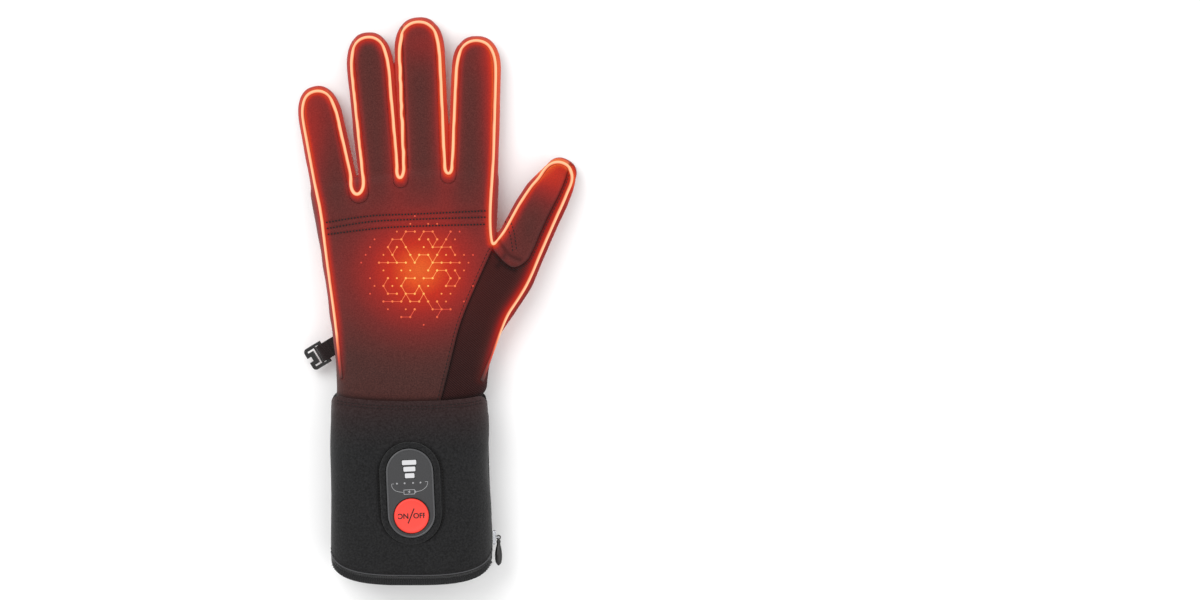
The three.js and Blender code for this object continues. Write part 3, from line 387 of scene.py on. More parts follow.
def surface_of(field, grid):
    """Points and triangles of the surface where a field is zero."""
    volume = openvdb.FloatGrid(9.0)
    volume.copyFromArray(np.ascontiguousarray(np.clip(field, -9, 9), dtype=np.float32))
    points, quads = volume.convertToQuads(0.0)
    low = np.array([grid[0].flat[0], grid[1].flat[0], grid[2].flat[0]])
    points = low + np.asarray(points, float) * STEP
    quads = np.asarray(quads, int)[:, ::-1]
    triangles = np.concatenate([quads[:, [0, 1, 2]], quads[:, [0, 2, 3]]])
    a, b, c = (points[triangles[:, corner]] for corner in range(3))
    if np.einsum("ij,ij->", a, np.cross(b, c)) < 0:
        triangles = triangles[:, ::-1]
    return points, triangles


def keep(points, triangles, values):
    """The part of a surface where the values at its points are positive, cut off clean at zero."""
    inside = values > 0
    count = inside[triangles].sum(1)
    mixed = triangles[(count == 1) | (count == 2)]
    one_in = inside[mixed].sum(1) == 1
    alone = np.where(one_in[:, None], inside[mixed], ~inside[mixed]).argmax(1)
    rows = np.arange(len(mixed))
    a, b, c = (mixed[rows, (alone + turn) % 3] for turn in range(3))
    edges = np.sort(np.concatenate([np.stack([a, b], 1), np.stack([a, c], 1)]), 1)
    unique, where = np.unique(edges, axis=0, return_inverse=True)
    where = where.reshape(-1) + len(points)
    start, end = values[unique[:, 0]], values[unique[:, 1]]
    share = (start / (start - end))[:, None]
    added = points[unique[:, 0]] * (1 - share) + points[unique[:, 1]] * share
    ab, ac = where[:len(mixed)], where[len(mixed):]
    new = [
        triangles[count == 3],
        np.stack([a, ab, ac], 1)[one_in],
        np.stack([ab, b, c], 1)[~one_in],
        np.stack([ab, c, ac], 1)[~one_in],
    ]
    return tidied(np.concatenate([points, added]), np.concatenate(new))


def tidied(points, triangles):
    used, where = np.unique(triangles, return_inverse=True)
    return points[used], where.reshape(-1, 3)


# Materials
def linear(red, green, blue):
    parts = [value / 255 for value in (red, green, blue)]
    return tuple([part / 12.92 if part < 0.04 else ((part + 0.055) / 1.055) ** 2.4 for part in parts] + [1])


def new_material(name):
    material = bpy.data.materials.new(name)
    material.use_nodes = True
    nodes = material.node_tree.nodes
    return material, nodes, material.node_tree.links, nodes["Principled BSDF"]


def add_bump(material, height_socket, strength, distance):
    nodes, links = material.node_tree.nodes, material.node_tree.links
    bump = nodes.new("ShaderNodeBump")
    bump.inputs["Strength"].default_value = strength
    bump.inputs["Distance"].default_value = distance / 1000
    links.new(height_socket, bump.inputs["Height"])
    links.new(bump.outputs["Normal"], nodes["Principled BSDF"].inputs["Normal"])


def place_node(nodes, links, scale, turn=0.0):
    """Object coordinates in millimetres times a scale, turned about the vertical."""
    where = nodes.new("ShaderNodeTexCoord")
    mapping = nodes.new("ShaderNodeMapping")
    mapping.inputs["Scale"].default_value = (1000 * scale,) * 3
    mapping.inputs["Rotation"].default_value = (0, 0, math.radians(turn))
    links.new(where.outputs["Object"], mapping.inputs["Vector"])
    return mapping.outputs["Vector"]


def mottle(material, dark, light, scale, detail=3):
    """Colour that wanders between two, in a fine grain."""
    nodes, links = material.node_tree.nodes, material.node_tree.links
    noise = nodes.new("ShaderNodeTexNoise")
    noise.inputs["Scale"].default_value = 1
    noise.inputs["Detail"].default_value = detail
    noise.inputs["Roughness"].default_value = 0.7
    links.new(place_node(nodes, links, scale), noise.inputs["Vector"])
    ramp = nodes.new("ShaderNodeValToRGB")
    ramp.color_ramp.elements[0].position = 0.36
    ramp.color_ramp.elements[0].color = dark
    ramp.color_ramp.elements[1].position = 0.64
    ramp.color_ramp.elements[1].color = light
    links.new(noise.outputs["Fac"], ramp.inputs["Fac"])
    links.new(ramp.outputs["Color"], nodes["Principled BSDF"].inputs["Base Color"])
    return noise.outputs["Fac"], ramp.outputs["Color"]


# Colours of the cloth's painted glow, by its heat
HEAT_COLOURS = [
    {"heat": 0.0, "colour": (0, 0, 0)},
    {"heat": 0.12, "colour": (62, 16, 12)},
    {"heat": 0.3, "colour": (112, 18, 16)},
    {"heat": 0.52, "colour": (158, 26, 18)},
    {"heat": 0.72, "colour": (198, 40, 14)},
    {"heat": 0.88, "colour": (226, 76, 20)},
    {"heat": 1.0, "colour": (236, 108, 38)},
]


def add_heat(material, grain=None):
    """Glow from within, by the heat that each point of the cloth has."""
    nodes, links = material.node_tree.nodes, material.node_tree.links
    heat = nodes.new("ShaderNodeAttribute")
    heat.attribute_name = "warmth"
    ramp = nodes.new("ShaderNodeValToRGB")
    elements = ramp.color_ramp.elements
    elements[0].color = linear(*HEAT_COLOURS[0]["colour"])
    elements[1].color = linear(*HEAT_COLOURS[-1]["colour"])
    for row in HEAT_COLOURS[1:-1]:
        added = elements.new(row["heat"])
        added.color = linear(*row["colour"])
    links.new(heat.outputs["Fac"], ramp.inputs["Fac"])
    shader = nodes["Principled BSDF"]
    glow = ramp.outputs["Color"]
    if grain is not None:
        speckle = nodes.new("ShaderNodeMapRange")
        speckle.inputs["From Min"].default_value = 0.3
        speckle.inputs["From Max"].default_value = 0.7
        speckle.inputs["To Min"].default_value = 0.8
        speckle.inputs["To Max"].default_value = 1.15
        links.new(grain, speckle.inputs["Value"])
        mix = nodes.new("ShaderNodeVectorMath")
        mix.operation = "SCALE"
        links.new(glow, mix.inputs[0])
        links.new(speckle.outputs["Result"], mix.inputs["Scale"])
        glow = mix.outputs["Vector"]
    links.new(glow, shader.inputs["Emission Color"])
    shader.inputs["Emission Strength"].default_value = 1
    paint_shade_and_dim_glowing_cloth(material)


# Painted shade: which shader input each attribute darkens, and by how much at most; warmth dims the base colour under
# the painted glow
SHADINGS = [("Base Color", "shade", 0.8), ("Emission Color", "shade", 0.8), ("Base Color", "warmth", 1.4)]


def paint_shade_and_dim_glowing_cloth(material):
    """Painted shade: colour and glow are darker by the shade that each point carries, along seams, in fold dips and at
    grooves; the base colour is also dimmed where the cloth has its painted glow.
    """
    nodes, links = material.node_tree.nodes, material.node_tree.links
    for name, attribute, most in SHADINGS:
        value = nodes.new("ShaderNodeAttribute")
        value.attribute_name = attribute
        left = nodes.new("ShaderNodeMath")
        left.operation = "MULTIPLY_ADD"
        left.inputs[1].default_value = -most
        left.inputs[2].default_value = 1
        left.use_clamp = True
        links.new(value.outputs["Fac"], left.inputs[0])
        socket = nodes["Principled BSDF"].inputs[name]
        source = socket.links[0].from_socket
        scale = nodes.new("ShaderNodeVectorMath")
        scale.operation = "SCALE"
        links.new(source, scale.inputs[0])
        links.new(left.outputs["Value"], scale.inputs["Scale"])
        links.new(scale.outputs["Vector"], socket)


def cloth_material(name, dark, light, grain_scale, bump, roughness=0.95, heat=False):
    material, nodes, links, shader = new_material(name)
    grain, colour = mottle(material, linear(*dark), linear(*light), grain_scale)
    shader.inputs["Roughness"].default_value = roughness
    shader.inputs["Sheen Weight"].default_value = 0.1
    shader.inputs["Sheen Roughness"].default_value = 0.6
    shader.inputs["Specular IOR Level"].default_value = 0.25
    add_bump(material, grain, bump, 0.4)
    if heat:
        add_heat(material, grain)
    return material


def twill_material(name, dark, light, turn, heat=True):
    """Fine diagonal ribs."""
    material, nodes, links, shader = new_material(name)
    wave = nodes.new("ShaderNodeTexWave")
    wave.inputs["Scale"].default_value = 0.5
    wave.inputs["Distortion"].default_value = 0.6
    wave.inputs["Detail"].default_value = 1
    wave.inputs["Detail Scale"].default_value = 2
    links.new(place_node(nodes, links, 0.62, turn), wave.inputs["Vector"])
    ramp = nodes.new("ShaderNodeValToRGB")
    ramp.color_ramp.elements[0].color = linear(*dark)
    ramp.color_ramp.elements[1].color = linear(*light)
    links.new(wave.outputs["Fac"], ramp.inputs["Fac"])
    links.new(ramp.outputs["Color"], shader.inputs["Base Color"])
    shader.inputs["Roughness"].default_value = 0.95
    shader.inputs["Specular IOR Level"].default_value = 0.25
    add_bump(material, wave.outputs["Fac"], 0.7, 0.5)
    if heat:
        add_heat(material)
    return material


def plain_material(name, colour, roughness, metal=0.0, glow=0.0, grain=0.0):
    material, nodes, links, shader = new_material(name)
    shader.inputs["Base Color"].default_value = linear(*colour)
    shader.inputs["Roughness"].default_value = roughness
    shader.inputs["Metallic"].default_value = metal
    if glow:
        shader.inputs["Emission Color"].default_value = linear(*colour)
        shader.inputs["Emission Strength"].default_value = glow
    if grain:
        noise = nodes.new("ShaderNodeTexNoise")
        noise.inputs["Scale"].default_value = 1
        noise.inputs["Detail"].default_value = 2
        links.new(place_node(nodes, links, grain), noise.inputs["Vector"])
        add_bump(material, noise.outputs["Fac"], 0.25, 0.15)
    return material


def glow_material(name, colours, attribute, strength=1.0):
    """Light of its own, from one colour to another by a value that the piece carries, and black where it is 0."""
    material, nodes, links, shader = new_material(name)
    value = nodes.new("ShaderNodeAttribute")
    value.attribute_name = attribute
    ramp = nodes.new("ShaderNodeValToRGB")
    elements = ramp.color_ramp.elements
    elements[0].color = linear(*colours[0])
    elements[1].color = linear(*colours[-1])
    for index, colour in enumerate(colours[1:-1]):
        elements.new((index + 1) / (len(colours) - 1)).color = linear(*colour)
    links.new(value.outputs["Fac"], ramp.inputs["Fac"])
    links.new(ramp.outputs["Color"], shader.inputs["Emission Color"])
    shader.inputs["Emission Strength"].default_value = strength
    shader.inputs["Base Color"].default_value = linear(34, 16, 14)
    shader.inputs["Roughness"].default_value = 0.6
    return material


softshell = cloth_material("softshell", (24, 13, 11), (58, 37, 33), 1.5, 0.4, heat=True)
grip_cloth = cloth_material("grip_cloth", (22, 21, 22), (38, 37, 38), 1.8, 0.3, heat=True)
touch_cloth = cloth_material("touch_cloth", (30, 27, 28), (50, 46, 46), 2.0, 0.3, heat=True)
neoprene = cloth_material("neoprene", (5, 5, 6), (30, 30, 31), 1.0, 0.7, heat=True)
binding = cloth_material("binding", (12, 12, 13), (34, 34, 35), 2.0, 0.5)
twill = twill_material("twill", (3, 1, 1), (52, 22, 21), -50)
strip_twill = twill_material("strip_twill", (12, 9, 9), (50, 42, 42), -50, heat=False)
thread = plain_material("thread", (9, 5, 5), 0.85)
grey_thread = plain_material("grey_thread", (58, 58, 60), 0.8)
casing = plain_material("casing", (38, 38, 40), 0.5, grain=3)
casing_rim = plain_material("casing_rim", (64, 64, 66), 0.35)
button_rubber = plain_material("button_rubber", (226, 52, 38), 0.5, glow=0.12)
button_print = plain_material("button_print", (10, 5, 5), 0.8)
lamp_white = plain_material("lamp_white", (198, 198, 200), 0.35)
white_print = plain_material("white_print", (150, 150, 152), 0.6)
steel = plain_material("steel", (186, 188, 192), 0.22, metal=1.0, grain=4)
black_plastic = plain_material("black_plastic", (22, 20, 20), 0.3, grain=3)
webbing_cloth = cloth_material("webbing_cloth", (12, 4, 4), (36, 17, 17), 2.8, 0.5)
silicone = plain_material("silicone", (120, 120, 122), 0.5)
pale_piping = plain_material("pale_piping", (66, 66, 68), 0.7)
zip_black = plain_material("zip_black", (12, 12, 13), 0.35)
wire_glow = glow_material("wire_glow", [(20, 3, 2), (206, 48, 16), (255, 132, 78), (255, 200, 150)], "warmth", 1.0)
print_glow = glow_material("print_glow", [(60, 10, 8), (226, 60, 36), (255, 138, 62), (255, 190, 92)], "warmth", 1.0)
palm_glow = glow_material("palm_glow", [(30, 4, 2), (200, 50, 24), (255, 140, 100)], "warmth", 0.9)

# Where the frame's parts stand: the button gives the way from the making frame to the row frame
tilt = math.radians(CONTROLLER_TILT)


def on_controller(points):
    """Points made round the controller's middle, in millimetres, set in its place."""
    points = np.asarray(points, float)
    turned = points.copy()
    turned[:, 0] = points[:, 0] * math.cos(tilt) - points[:, 1] * math.sin(tilt)
    turned[:, 1] = points[:, 0] * math.sin(tilt) + points[:, 1] * math.cos(tilt) - CONTROLLER_FROM_WRIST
    return turned


button_low, button_high = (np.array(corner) * 1000 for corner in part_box("power_button"))
BUTTON_MIDDLE = np.array([[0, BUTTON_FROM_END - CONTROLLER_LENGTH / 2, 0]])
SHIFT = (button_low + button_high) / 2 - on_controller(BUTTON_MIDDLE)[0]
SHIFT[2] = 0
PLATE_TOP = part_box("controller_plate")[1][2] * 1000
BUTTON_TOP = button_high[2]


# Pieces
def add_piece(name, points, faces, material, replaces=(), slot=None, body="glove", sharp=None, **values):
    mesh = bpy.data.meshes.new(name)
    placed = (np.asarray(points, float) + SHIFT) / 1000
    faces = faces.tolist() if isinstance(faces, np.ndarray) else faces
    mesh.from_pydata(placed.tolist(), [], faces)
    mesh.materials.append(material)
    mesh.shade_smooth()
    if sharp:
        mesh.set_sharp_from_angle(angle=math.radians(sharp))
    for value_name, value in values.items():
        layer = mesh.attributes.new(name=value_name, type="FLOAT", domain="POINT")
        layer.data.foreach_set("value", np.asarray(value, np.float32))
    piece = bpy.data.objects.new(name, mesh)
    bpy.context.scene.collection.objects.link(piece)
    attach(piece, body)
    if replaces:
        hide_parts(*replaces)
    return piece


def thicken(piece, thickness=CLOTH_SHOWN):
    """Cloth of a real thickness, inward from its outer surface."""
    solid = piece.modifiers.new("thickness", "SOLIDIFY")
    solid.thickness = thickness / 1000
    solid.offset = -1
    return piece


def bevel(piece, width, segments=3):
    edge = piece.modifiers.new("bevel", "BEVEL")
    edge.width = width / 1000
    edge.segments = segments
    edge.limit_method = "ANGLE"
    return piece


def gather(parts):
    """Joins lists of points and faces into one mesh."""
    points, faces, count = [], [], 0
    for part_points, part_faces in parts:
        points.append(part_points)
        faces.extend([[index + count for index in face] for face in part_faces])
        count += len(part_points)
    return np.concatenate(points), faces


def sweep(line, outward, profile, closed=False, scales=None, caps=True):
    """A profile of (sideways, outward) offsets drawn along a line in space."""
    line, outward = np.asarray(line, float), np.asarray(outward, float)
    if closed:
        ahead = np.roll(line, -1, 0) - np.roll(line, 1, 0)
    else:
        ahead = np.gradient(line, axis=0)
    ahead /= np.linalg.norm(ahead, axis=1)[:, None] + 1e-12
    aside = np.cross(ahead, outward)
    aside /= np.linalg.norm(aside, axis=1)[:, None] + 1e-12
    up = np.cross(aside, ahead)
    profile = np.asarray(profile, float)
    scales = np.ones(len(line)) if scales is None else np.asarray(scales, float)
    offsets = profile[None] * scales[:, None, None]
    points = line[:, None] + aside[:, None] * offsets[..., :1] + up[:, None] * offsets[..., 1:]
    sides, rings = len(profile), len(line)
    faces = []
    for ring in range(rings if closed else rings - 1):
        next_ring = (ring + 1) % rings
        for side in range(sides):
            other = (side + 1) % sides
            faces.append([ring * sides + side, ring * sides + other,
                          next_ring * sides + other, next_ring * sides + side])
    if caps and not closed:
        faces.append(list(range(sides))[::-1])
        faces.append([(rings - 1) * sides + side for side in range(sides)])
    return points.reshape(-1, 3), faces


def circle(radius, sides=8, flat=1.0):
    angles = np.arange(sides) * 2 * math.pi / sides
    return np.stack([radius * np.cos(angles), radius * flat * np.sin(angles)], 1)


def strip_profile(width, height, sunk=0.2):
    half = width / 2
    return [(-half, -sunk), (half, -sunk), (half * 0.8, height), (-half * 0.8, height)]


# Seams and folds on the back, as rises and dips of the surface in plan
def seam_on_finger(index, sign, place):
    limb = fingers[index]
    straight = limb["tip"][0]
    edge = column(limb, "half_width", min(place, straight)) - FOURCHETTE_LAP
    return on_limb(limb, sign * edge, place)


def fourchette_line(index, ends=True):
    """Seam round the strip between two fingers: down the left one, round the fork and up the right one."""
    turn = WIRE_TURNS[index]
    shoulder = turn * PALM_LENGTH + 2
    tops = [FINGERS[index + side]["reach"] * FINGER_LENGTH - FOURCHETTE_LAP for side in (0, 1)]
    leans = [math.radians(FINGERS[index + side]["lean"]) for side in (0, 1)]
    left = seam_on_finger(index, 1, (shoulder - KNUCKLE_LINE) / math.cos(leans[0]))
    right = seam_on_finger(index + 1, -1, (shoulder - KNUCKLE_LINE) / math.cos(leans[1]))
    radius = (right[0] - left[0]) / 2
    middle = np.array([(left[0] + right[0]) / 2, turn * PALM_LENGTH - FORK_LAP + radius])
    points = [seam_on_finger(index, 1, tops[0])]
    for angle in np.linspace(math.pi, 2 * math.pi, 9):
        points.append(middle + radius * np.array([math.cos(angle), math.sin(angle)]))
    points.append(seam_on_finger(index + 1, -1, tops[1]))
    if ends:
        reach = 4 * FOURCHETTE_LAP
        points.insert(0, points[0] + np.array([FOURCHETTE_LAP, reach]))
        points.append(points[-1] + np.array([-FOURCHETTE_LAP, reach]))
    return np.array(points)


def gusset_line():
    return rounded(plan_line(GUSSET_SEAM), 2)


def thumb_back_line():
    return rounded(plan_line(THUMB_BACK_SEAM), 2)


def middle_finger_line():
    return rounded(np.array([seam_on_finger(2, -1, place) for place in (40, 70, 100, 112, 118)]), 2)


def tip_arc(steps=12):
    """Shares across and ahead, from left to right round a tip."""
    arc = []
    for angle in np.linspace(math.pi, 0, steps + 1):
        across, ahead = math.cos(angle), math.sin(angle)
        arc.append((math.copysign(abs(across) ** (2 / TIP_FULLNESS), across), abs(ahead) ** (2 / TIP_FULLNESS)))
    return arc


def wire_route():
    """The wire in plan: up the little finger's edge of the hand, round each finger and down the thumb."""
    route = [inside_edge(hand, -1, share * PALM_LENGTH) for share in (0.07, 0.3, 0.5, 0.68, 0.82)]
    for index, limb in enumerate(fingers):
        straight, tip = limb["tip"]
        cosine = math.cos(math.radians(FINGERS[index]["lean"]))
        turns = [WIRE_TURNS[max(index - 1, 0)], WIRE_TURNS[min(index, 2)]]
        starts = [(turn * PALM_LENGTH + TURN_RISE - KNUCKLE_LINE) / cosine for turn in turns]
        for share in (0, 0.5, 0.9):
            route.append(inside_edge(limb, -1, starts[0] + share * (straight - starts[0])))
        half = column(limb, "half_width", straight) - WIRE_INSET
        for across, ahead in tip_arc():
            route.append(on_limb(limb, half * across, straight + (tip - WIRE_INSET) * ahead))
        for share in (0.9, 0.5, 0):
            route.append(inside_edge(limb, 1, starts[1] + share * (straight - starts[1])))
        if index < 3:
            last = route[-1]
            cosine = math.cos(math.radians(FINGERS[index + 1]["lean"]))
            place = (WIRE_TURNS[index] * PALM_LENGTH + TURN_RISE - KNUCKLE_LINE) / cosine
            far = inside_edge(fingers[index + 1], -1, place)
            bottom = WIRE_TURNS[index] * PALM_LENGTH
            for share, rise in ((0.1, 0.45), (0.28, 0.12), (0.5, 0), (0.72, 0.12), (0.9, 0.45)):
                route.append(np.array([last[0] + share * (far[0] - last[0]), bottom + rise * TURN_RISE]))
    route.append(inside_edge(hand, 1, 0.82 * PALM_LENGTH, 1.8))
    route.append(inside_edge(hand, 1, 0.72 * PALM_LENGTH, 1.8))
    route.append(plan(THUMB_CROTCH))
    for share in (0.555, 0.63, 0.72, 0.82):
        route.append(inside_edge(thumb, -1, share * THUMB_LENGTH))
    straight = 0.86 * THUMB_LENGTH
    shift, half = column(thumb, "shift", straight), column(thumb, "half_width", straight) - WIRE_INSET
    for across, ahead in tip_arc():
        route.append(on_limb(thumb, shift + half * across, straight + (THUMB_LENGTH - straight - WIRE_INSET) * ahead))
    for share in (0.82, 0.72, 0.55, 0.4, 0.31, 0.2):
        route.append(inside_edge(thumb, 1, share * THUMB_LENGTH))
    route.append(inside_edge(hand, 1, 0.06 * PALM_LENGTH))
    return rounded(np.array(route), 0.9)


wire_line = wire_route()
FOLDS = [
    {"ends": [(0.462, 0.62), (0.5, 0.552), (0.56, 0.53)], "height": 1.3, "width": 2.2},
    {"ends": [(0.47, 0.655), (0.53, 0.585), (0.585, 0.57)], "height": 1.1, "width": 2.0},
    {"ends": [(0.5, 0.71), (0.55, 0.655), (0.6, 0.62)], "height": 0.9, "width": 2.2},
    {"ends": [(0.455, 0.632), (0.51, 0.572), (0.575, 0.55)], "height": -1.1, "width": 1.3},
    {"ends": [(0.485, 0.685), (0.54, 0.615), (0.6, 0.598)], "height": -0.9, "width": 1.3},
    {"ends": [(0.48, 0.57), (0.52, 0.62)], "height": -0.9, "width": 1.6},
    {"ends": [(0.53, 0.76), (0.585, 0.72)], "height": 0.4, "width": 2.4},
    {"ends": [(-0.36, 0.05), (-0.1, 0.09), (0.1, 0.06)], "height": 0.45, "width": 4},
    {"ends": [(0.0, 0.13), (0.16, 0.1), (0.34, 0.15)], "height": 0.4, "width": 4},
    {"ends": [(-0.4, 0.2), (-0.3, 0.17), (-0.15, 0.18)], "height": 0.35, "width": 5},
    {"ends": [(-0.43, 0.36), (-0.36, 0.5), (-0.4, 0.66)], "height": 0.4, "width": 7},
    {"ends": [(0.3, 0.98), (0.36, 1.03), (0.43, 1.0)], "height": -0.3, "width": 4},
    {"ends": [(0.02, 1.06), (0.1, 1.1), (0.18, 1.06)], "height": -0.3, "width": 4},
    {"ends": [(-0.22, 1.02), (-0.17, 1.05), (-0.1, 1.03)], "height": -0.3, "width": 4},
]


def rises(x, y):
    """How much the back rises or dips at each place in plan."""
    places = np.stack(np.broadcast_arrays(x, y), -1)
    rise = np.zeros(places.shape[:-1])
    for index in range(3):
        rise -= 0.8 * np.exp(-(distance_to(places, fourchette_line(index)) / 1.2) ** 2)
    rise -= 0.75 * np.exp(-(distance_to(places, gusset_line()) / 1.3) ** 2)
    rise -= 0.9 * np.exp(-(distance_to(places, thumb_back_line()) / 1.3) ** 2)
    for row in KNUCKLE_ROWS:
        rise -= 0.4 * np.exp(-(distance_to(places, rounded(plan_line(row), 3)) / 1.1) ** 2)
    rise += 0.5 * np.exp(-(distance_to(places, wire_line[::3]) / 2.4) ** 2)
    for fold in FOLDS:
        line = rounded(plan_line(fold["ends"]), 2)
        rise += fold["height"] * np.exp(-(distance_to(places, line) / fold["width"]) ** 2)
    rise -= 0.6 * np.exp(-(distance_to(places, middle_finger_line()) / 1.1) ** 2)
    for _ in range(14):
        turn, phase = random.uniform(0, math.pi), random.uniform(0, 2 * math.pi)
        wavelength = random.uniform(14, 40)
        along = places[..., 0] * math.cos(turn) + places[..., 1] * math.sin(turn)
        rise += 0.05 * np.sin(2 * math.pi * along / wavelength + phase)
    return rise


def side_seam_height(y):
    return np.interp(
        y,
        [0, KNUCKLE_LINE, KNUCKLE_LINE + FINGER_LENGTH],
        [HAND_THICKNESS * 0.45, FINGER_THICKNESS * 0.55, FINGER_THICKNESS * 0.45],
    )


def hand_surface():
    grid = make_grid((-68, -CUFF_OVERLAP - 3, -3), (94, KNUCKLE_LINE + FINGER_LENGTH + 4, 41))
    field = limb_field(fingers[0], grid)
    for limb in fingers[1:]:
        field = joined(field, limb_field(limb, grid), 0.8)
    field = joined(field, limb_field(hand, grid), 3)
    field = joined(field, limb_field(thumb, grid), 1.5)
    field = true_distance(field)
    x, y, z = grid
    upper = np.clip((z - side_seam_height(y)) / 3 + 0.5, 0, 1)
    field = field - rises(x[:, :, 0], y[:, :, 0])[:, :, None] * upper
    floor = GRIP_HEIGHT + np.interp(y, [-2, 14], [STRAP_THICKNESS + GAP + CLOTH + GAP, 0])
    field = cut_off(field, floor - z, 1.5)
    return surface_of(field, grid)


def controller_grooves():
    """The stitched groove on each side of the controller, open above and below it."""
    straight = (CONTROLLER_LENGTH - CONTROLLER_WIDTH) / 2 - 2
    lines = []
    for side, outset in ((1, 4.9), (-1, 4.1)):
        radius = CONTROLLER_WIDTH / 2 + outset
        points = []
        for start, middle in ((-68, -straight), (0, straight)):
            for angle in np.radians(np.linspace(start, start + 68, 14)):
                points.append((side * radius * math.cos(angle), middle + radius * math.sin(angle), 0))
        lines.append(on_controller(points)[:, :2])
    return lines


def cuff_rises(x, y):
    """Soft dents in the thick cloth of the cuff's back, and the groove round the controller."""
    places = np.stack(np.broadcast_arrays(x, y), -1)
    rise = np.zeros(places.shape[:-1])
    for _ in range(12):
        turn, phase = random.uniform(0, math.pi), random.uniform(0, 2 * math.pi)
        wavelength = random.uniform(22, 60)
        along = places[..., 0] * math.cos(turn) + places[..., 1] * math.sin(turn)
        rise += 0.12 * np.sin(2 * math.pi * along / wavelength + phase)
    for line in controller_grooves():
        rise -= 1.2 * np.exp(-(distance_to(places, line) / 1.0) ** 2)
    rise -= 0.8 * np.exp(-((y + 8 + 4 * np.sqrt(np.clip(1 - (x / 44) ** 2, 0, 1))) / 1.3) ** 2) * 0.4
    return rise


def stadium(outset, sides=20):
    """Outline of the controller, moved out by a distance."""
    radius = CONTROLLER_WIDTH / 2 + outset
    straight = (CONTROLLER_LENGTH - CONTROLLER_WIDTH) / 2
    points = []
    for start, middle in ((0, straight), (math.pi, -straight)):
        for angle in np.linspace(start, start + math.pi, sides + 1):
            points.append((radius * math.cos(angle), middle + radius * math.sin(angle)))
    return np.array(points)


def cuff_surface(outset=0.0, dented=True):
    grid = make_grid((-52, -CUFF_LENGTH - 4, -3), (52, 9, 49))
    x, y, z = grid
    field = true_distance(limb_field(cuff, grid, outset))
    if dented:
        upper = np.clip((z - CUFF_EDGE) / 3, 0, 1)
        field = field - cuff_rises(x[:, :, 0], y[:, :, 0])[:, :, None] * upper
    floor = STRAP_THICKNESS + GAP - outset
    field = cut_off(field, floor - z, 1.5)
    return surface_of(field, grid)


# Surface heights, by rays from above or below
def make_tree(points, triangles):
    return BVHTree.FromPolygons(points.tolist(), triangles.tolist())


hand_points, hand_triangles = hand_surface()
cuff_points, cuff_triangles = cuff_surface()
hand_tree = make_tree(hand_points, hand_triangles)
cuff_tree = make_tree(cuff_points, cuff_triangles)


def drop(tree, line, from_above=True):
    """Points of a surface over or under a line in plan, with the directions out of it."""
    start, heading = (90, Vector((0, 0, -1))) if from_above else (-30, Vector((0, 0, 1)))
    points, normals = [], []
    for x, y in line:
        hit, normal, _, _ = tree.ray_cast(Vector((x, y, start)), heading)
        if hit is not None:
            points.append(tuple(hit))
            normals.append(tuple(normal))
    return np.array(points).reshape(-1, 3), np.array(normals).reshape(-1, 3)


WIRE_HEIGHT = 17
PAD_HEAT = [
    {"away": 0, "heat": 1.0}, {"away": 7, "heat": 0.93}, {"away": 12, "heat": 0.79}, {"away": 18, "heat": 0.66},
    {"away": 27, "heat": 0.43}, {"away": 36, "heat": 0.24}, {"away": 46, "heat": 0.12}, {"away": 60, "heat": 0.04},
]
SPREADS = [
    {"across": 0.48, "along": 1.3, "wide": 8, "long": 46, "heat": 0.56},
    {"across": 0.19, "along": 1.26, "wide": 6, "long": 38, "heat": 0.44},
    {"across": -0.08, "along": 1.1, "wide": 6, "long": 26, "heat": 0.22},
    {"across": -0.55, "along": 1.2, "wide": 10, "long": 32, "heat": 0.32},
    {"across": 0.79, "along": 0.98, "wide": 13, "long": 15, "heat": 0.62},
    {"across": 0.06, "along": 1.56, "wide": 13, "long": 12, "heat": 0.22},
    {"across": 0.46, "along": 1.5, "wide": 13, "long": 12, "heat": 0.2},
]


def heat_at(points, share=1.0):
    """Heat of the cloth at each point, which sets its painted glow: near the wire, round the middle of the back and in
    a few patches.
    """
    near = distance_to(points[:, :2], wire_line[::2])
    height = side_seam_height(points[:, 1])
    above = np.clip((points[:, 2] - height) / 8 + 1, 0.3, 1)
    fade = np.clip((points[:, 1] - 2) / 40, 0, 1)
    # The glow is painted stronger on the cloth's sides below the wire's height, where less light falls
    outside = np.clip((WIRE_HEIGHT - points[:, 2]) / 4, 0, 1)
    line = (0.42 * np.exp(-(near / 2.8) ** 2) + 0.34 * np.exp(-near / 4.2)) * above * fade * (1 + 0.7 * outside)
    centre = plan(HEAT_CENTRE)
    away = np.hypot((points[:, 0] - centre[0]) / 1.08, points[:, 1] - centre[1])
    patches = np.interp(away, [row["away"] for row in PAD_HEAT], [row["heat"] for row in PAD_HEAT])
    patches += 0.06 + 0.06 * np.clip((points[:, 1] - 20) / 40, 0, 1)
    for row in SPREADS:
        x, y = plan((row["across"], row["along"]))
        beyond = ((points[:, 0] - x) / row["wide"]) ** 2 + ((points[:, 1] - y) / row["long"]) ** 2
        patches += row["heat"] * np.exp(-beyond)
    upper = np.clip((points[:, 2] - height) / 3 + 0.5, 0, 1)
    patches *= upper * share
    return np.clip(np.maximum(line, 0.85 * patches) + 0.4 * np.minimum(line, patches), 0, 1)


# Painted shade along the seams: how wide and how dark it is at each
SEAM_SHADES = [
    {"line": "gusset", "width": 0.9, "shade": 0.85},
    {"line": "thumb_back", "width": 0.8, "shade": 0.7},
    {"line": "middle_finger", "width": 0.55, "shade": 0.8},
    {"line": "fork", "width": 0.5, "shade": 0.4},
    {"line": "knuckles", "width": 0.8, "shade": 0.3},
]


def seam_lines(name):
    if name == "gusset":
        return [gusset_line()]
    if name == "thumb_back":
        return [thumb_back_line()]
    if name == "middle_finger":
        return [middle_finger_line()]
    if name == "fork":
        return [fourchette_line(index, ends=False) for index in range(3)]
    return [rounded(plan_line(row), 3) for row in KNUCKLE_ROWS]
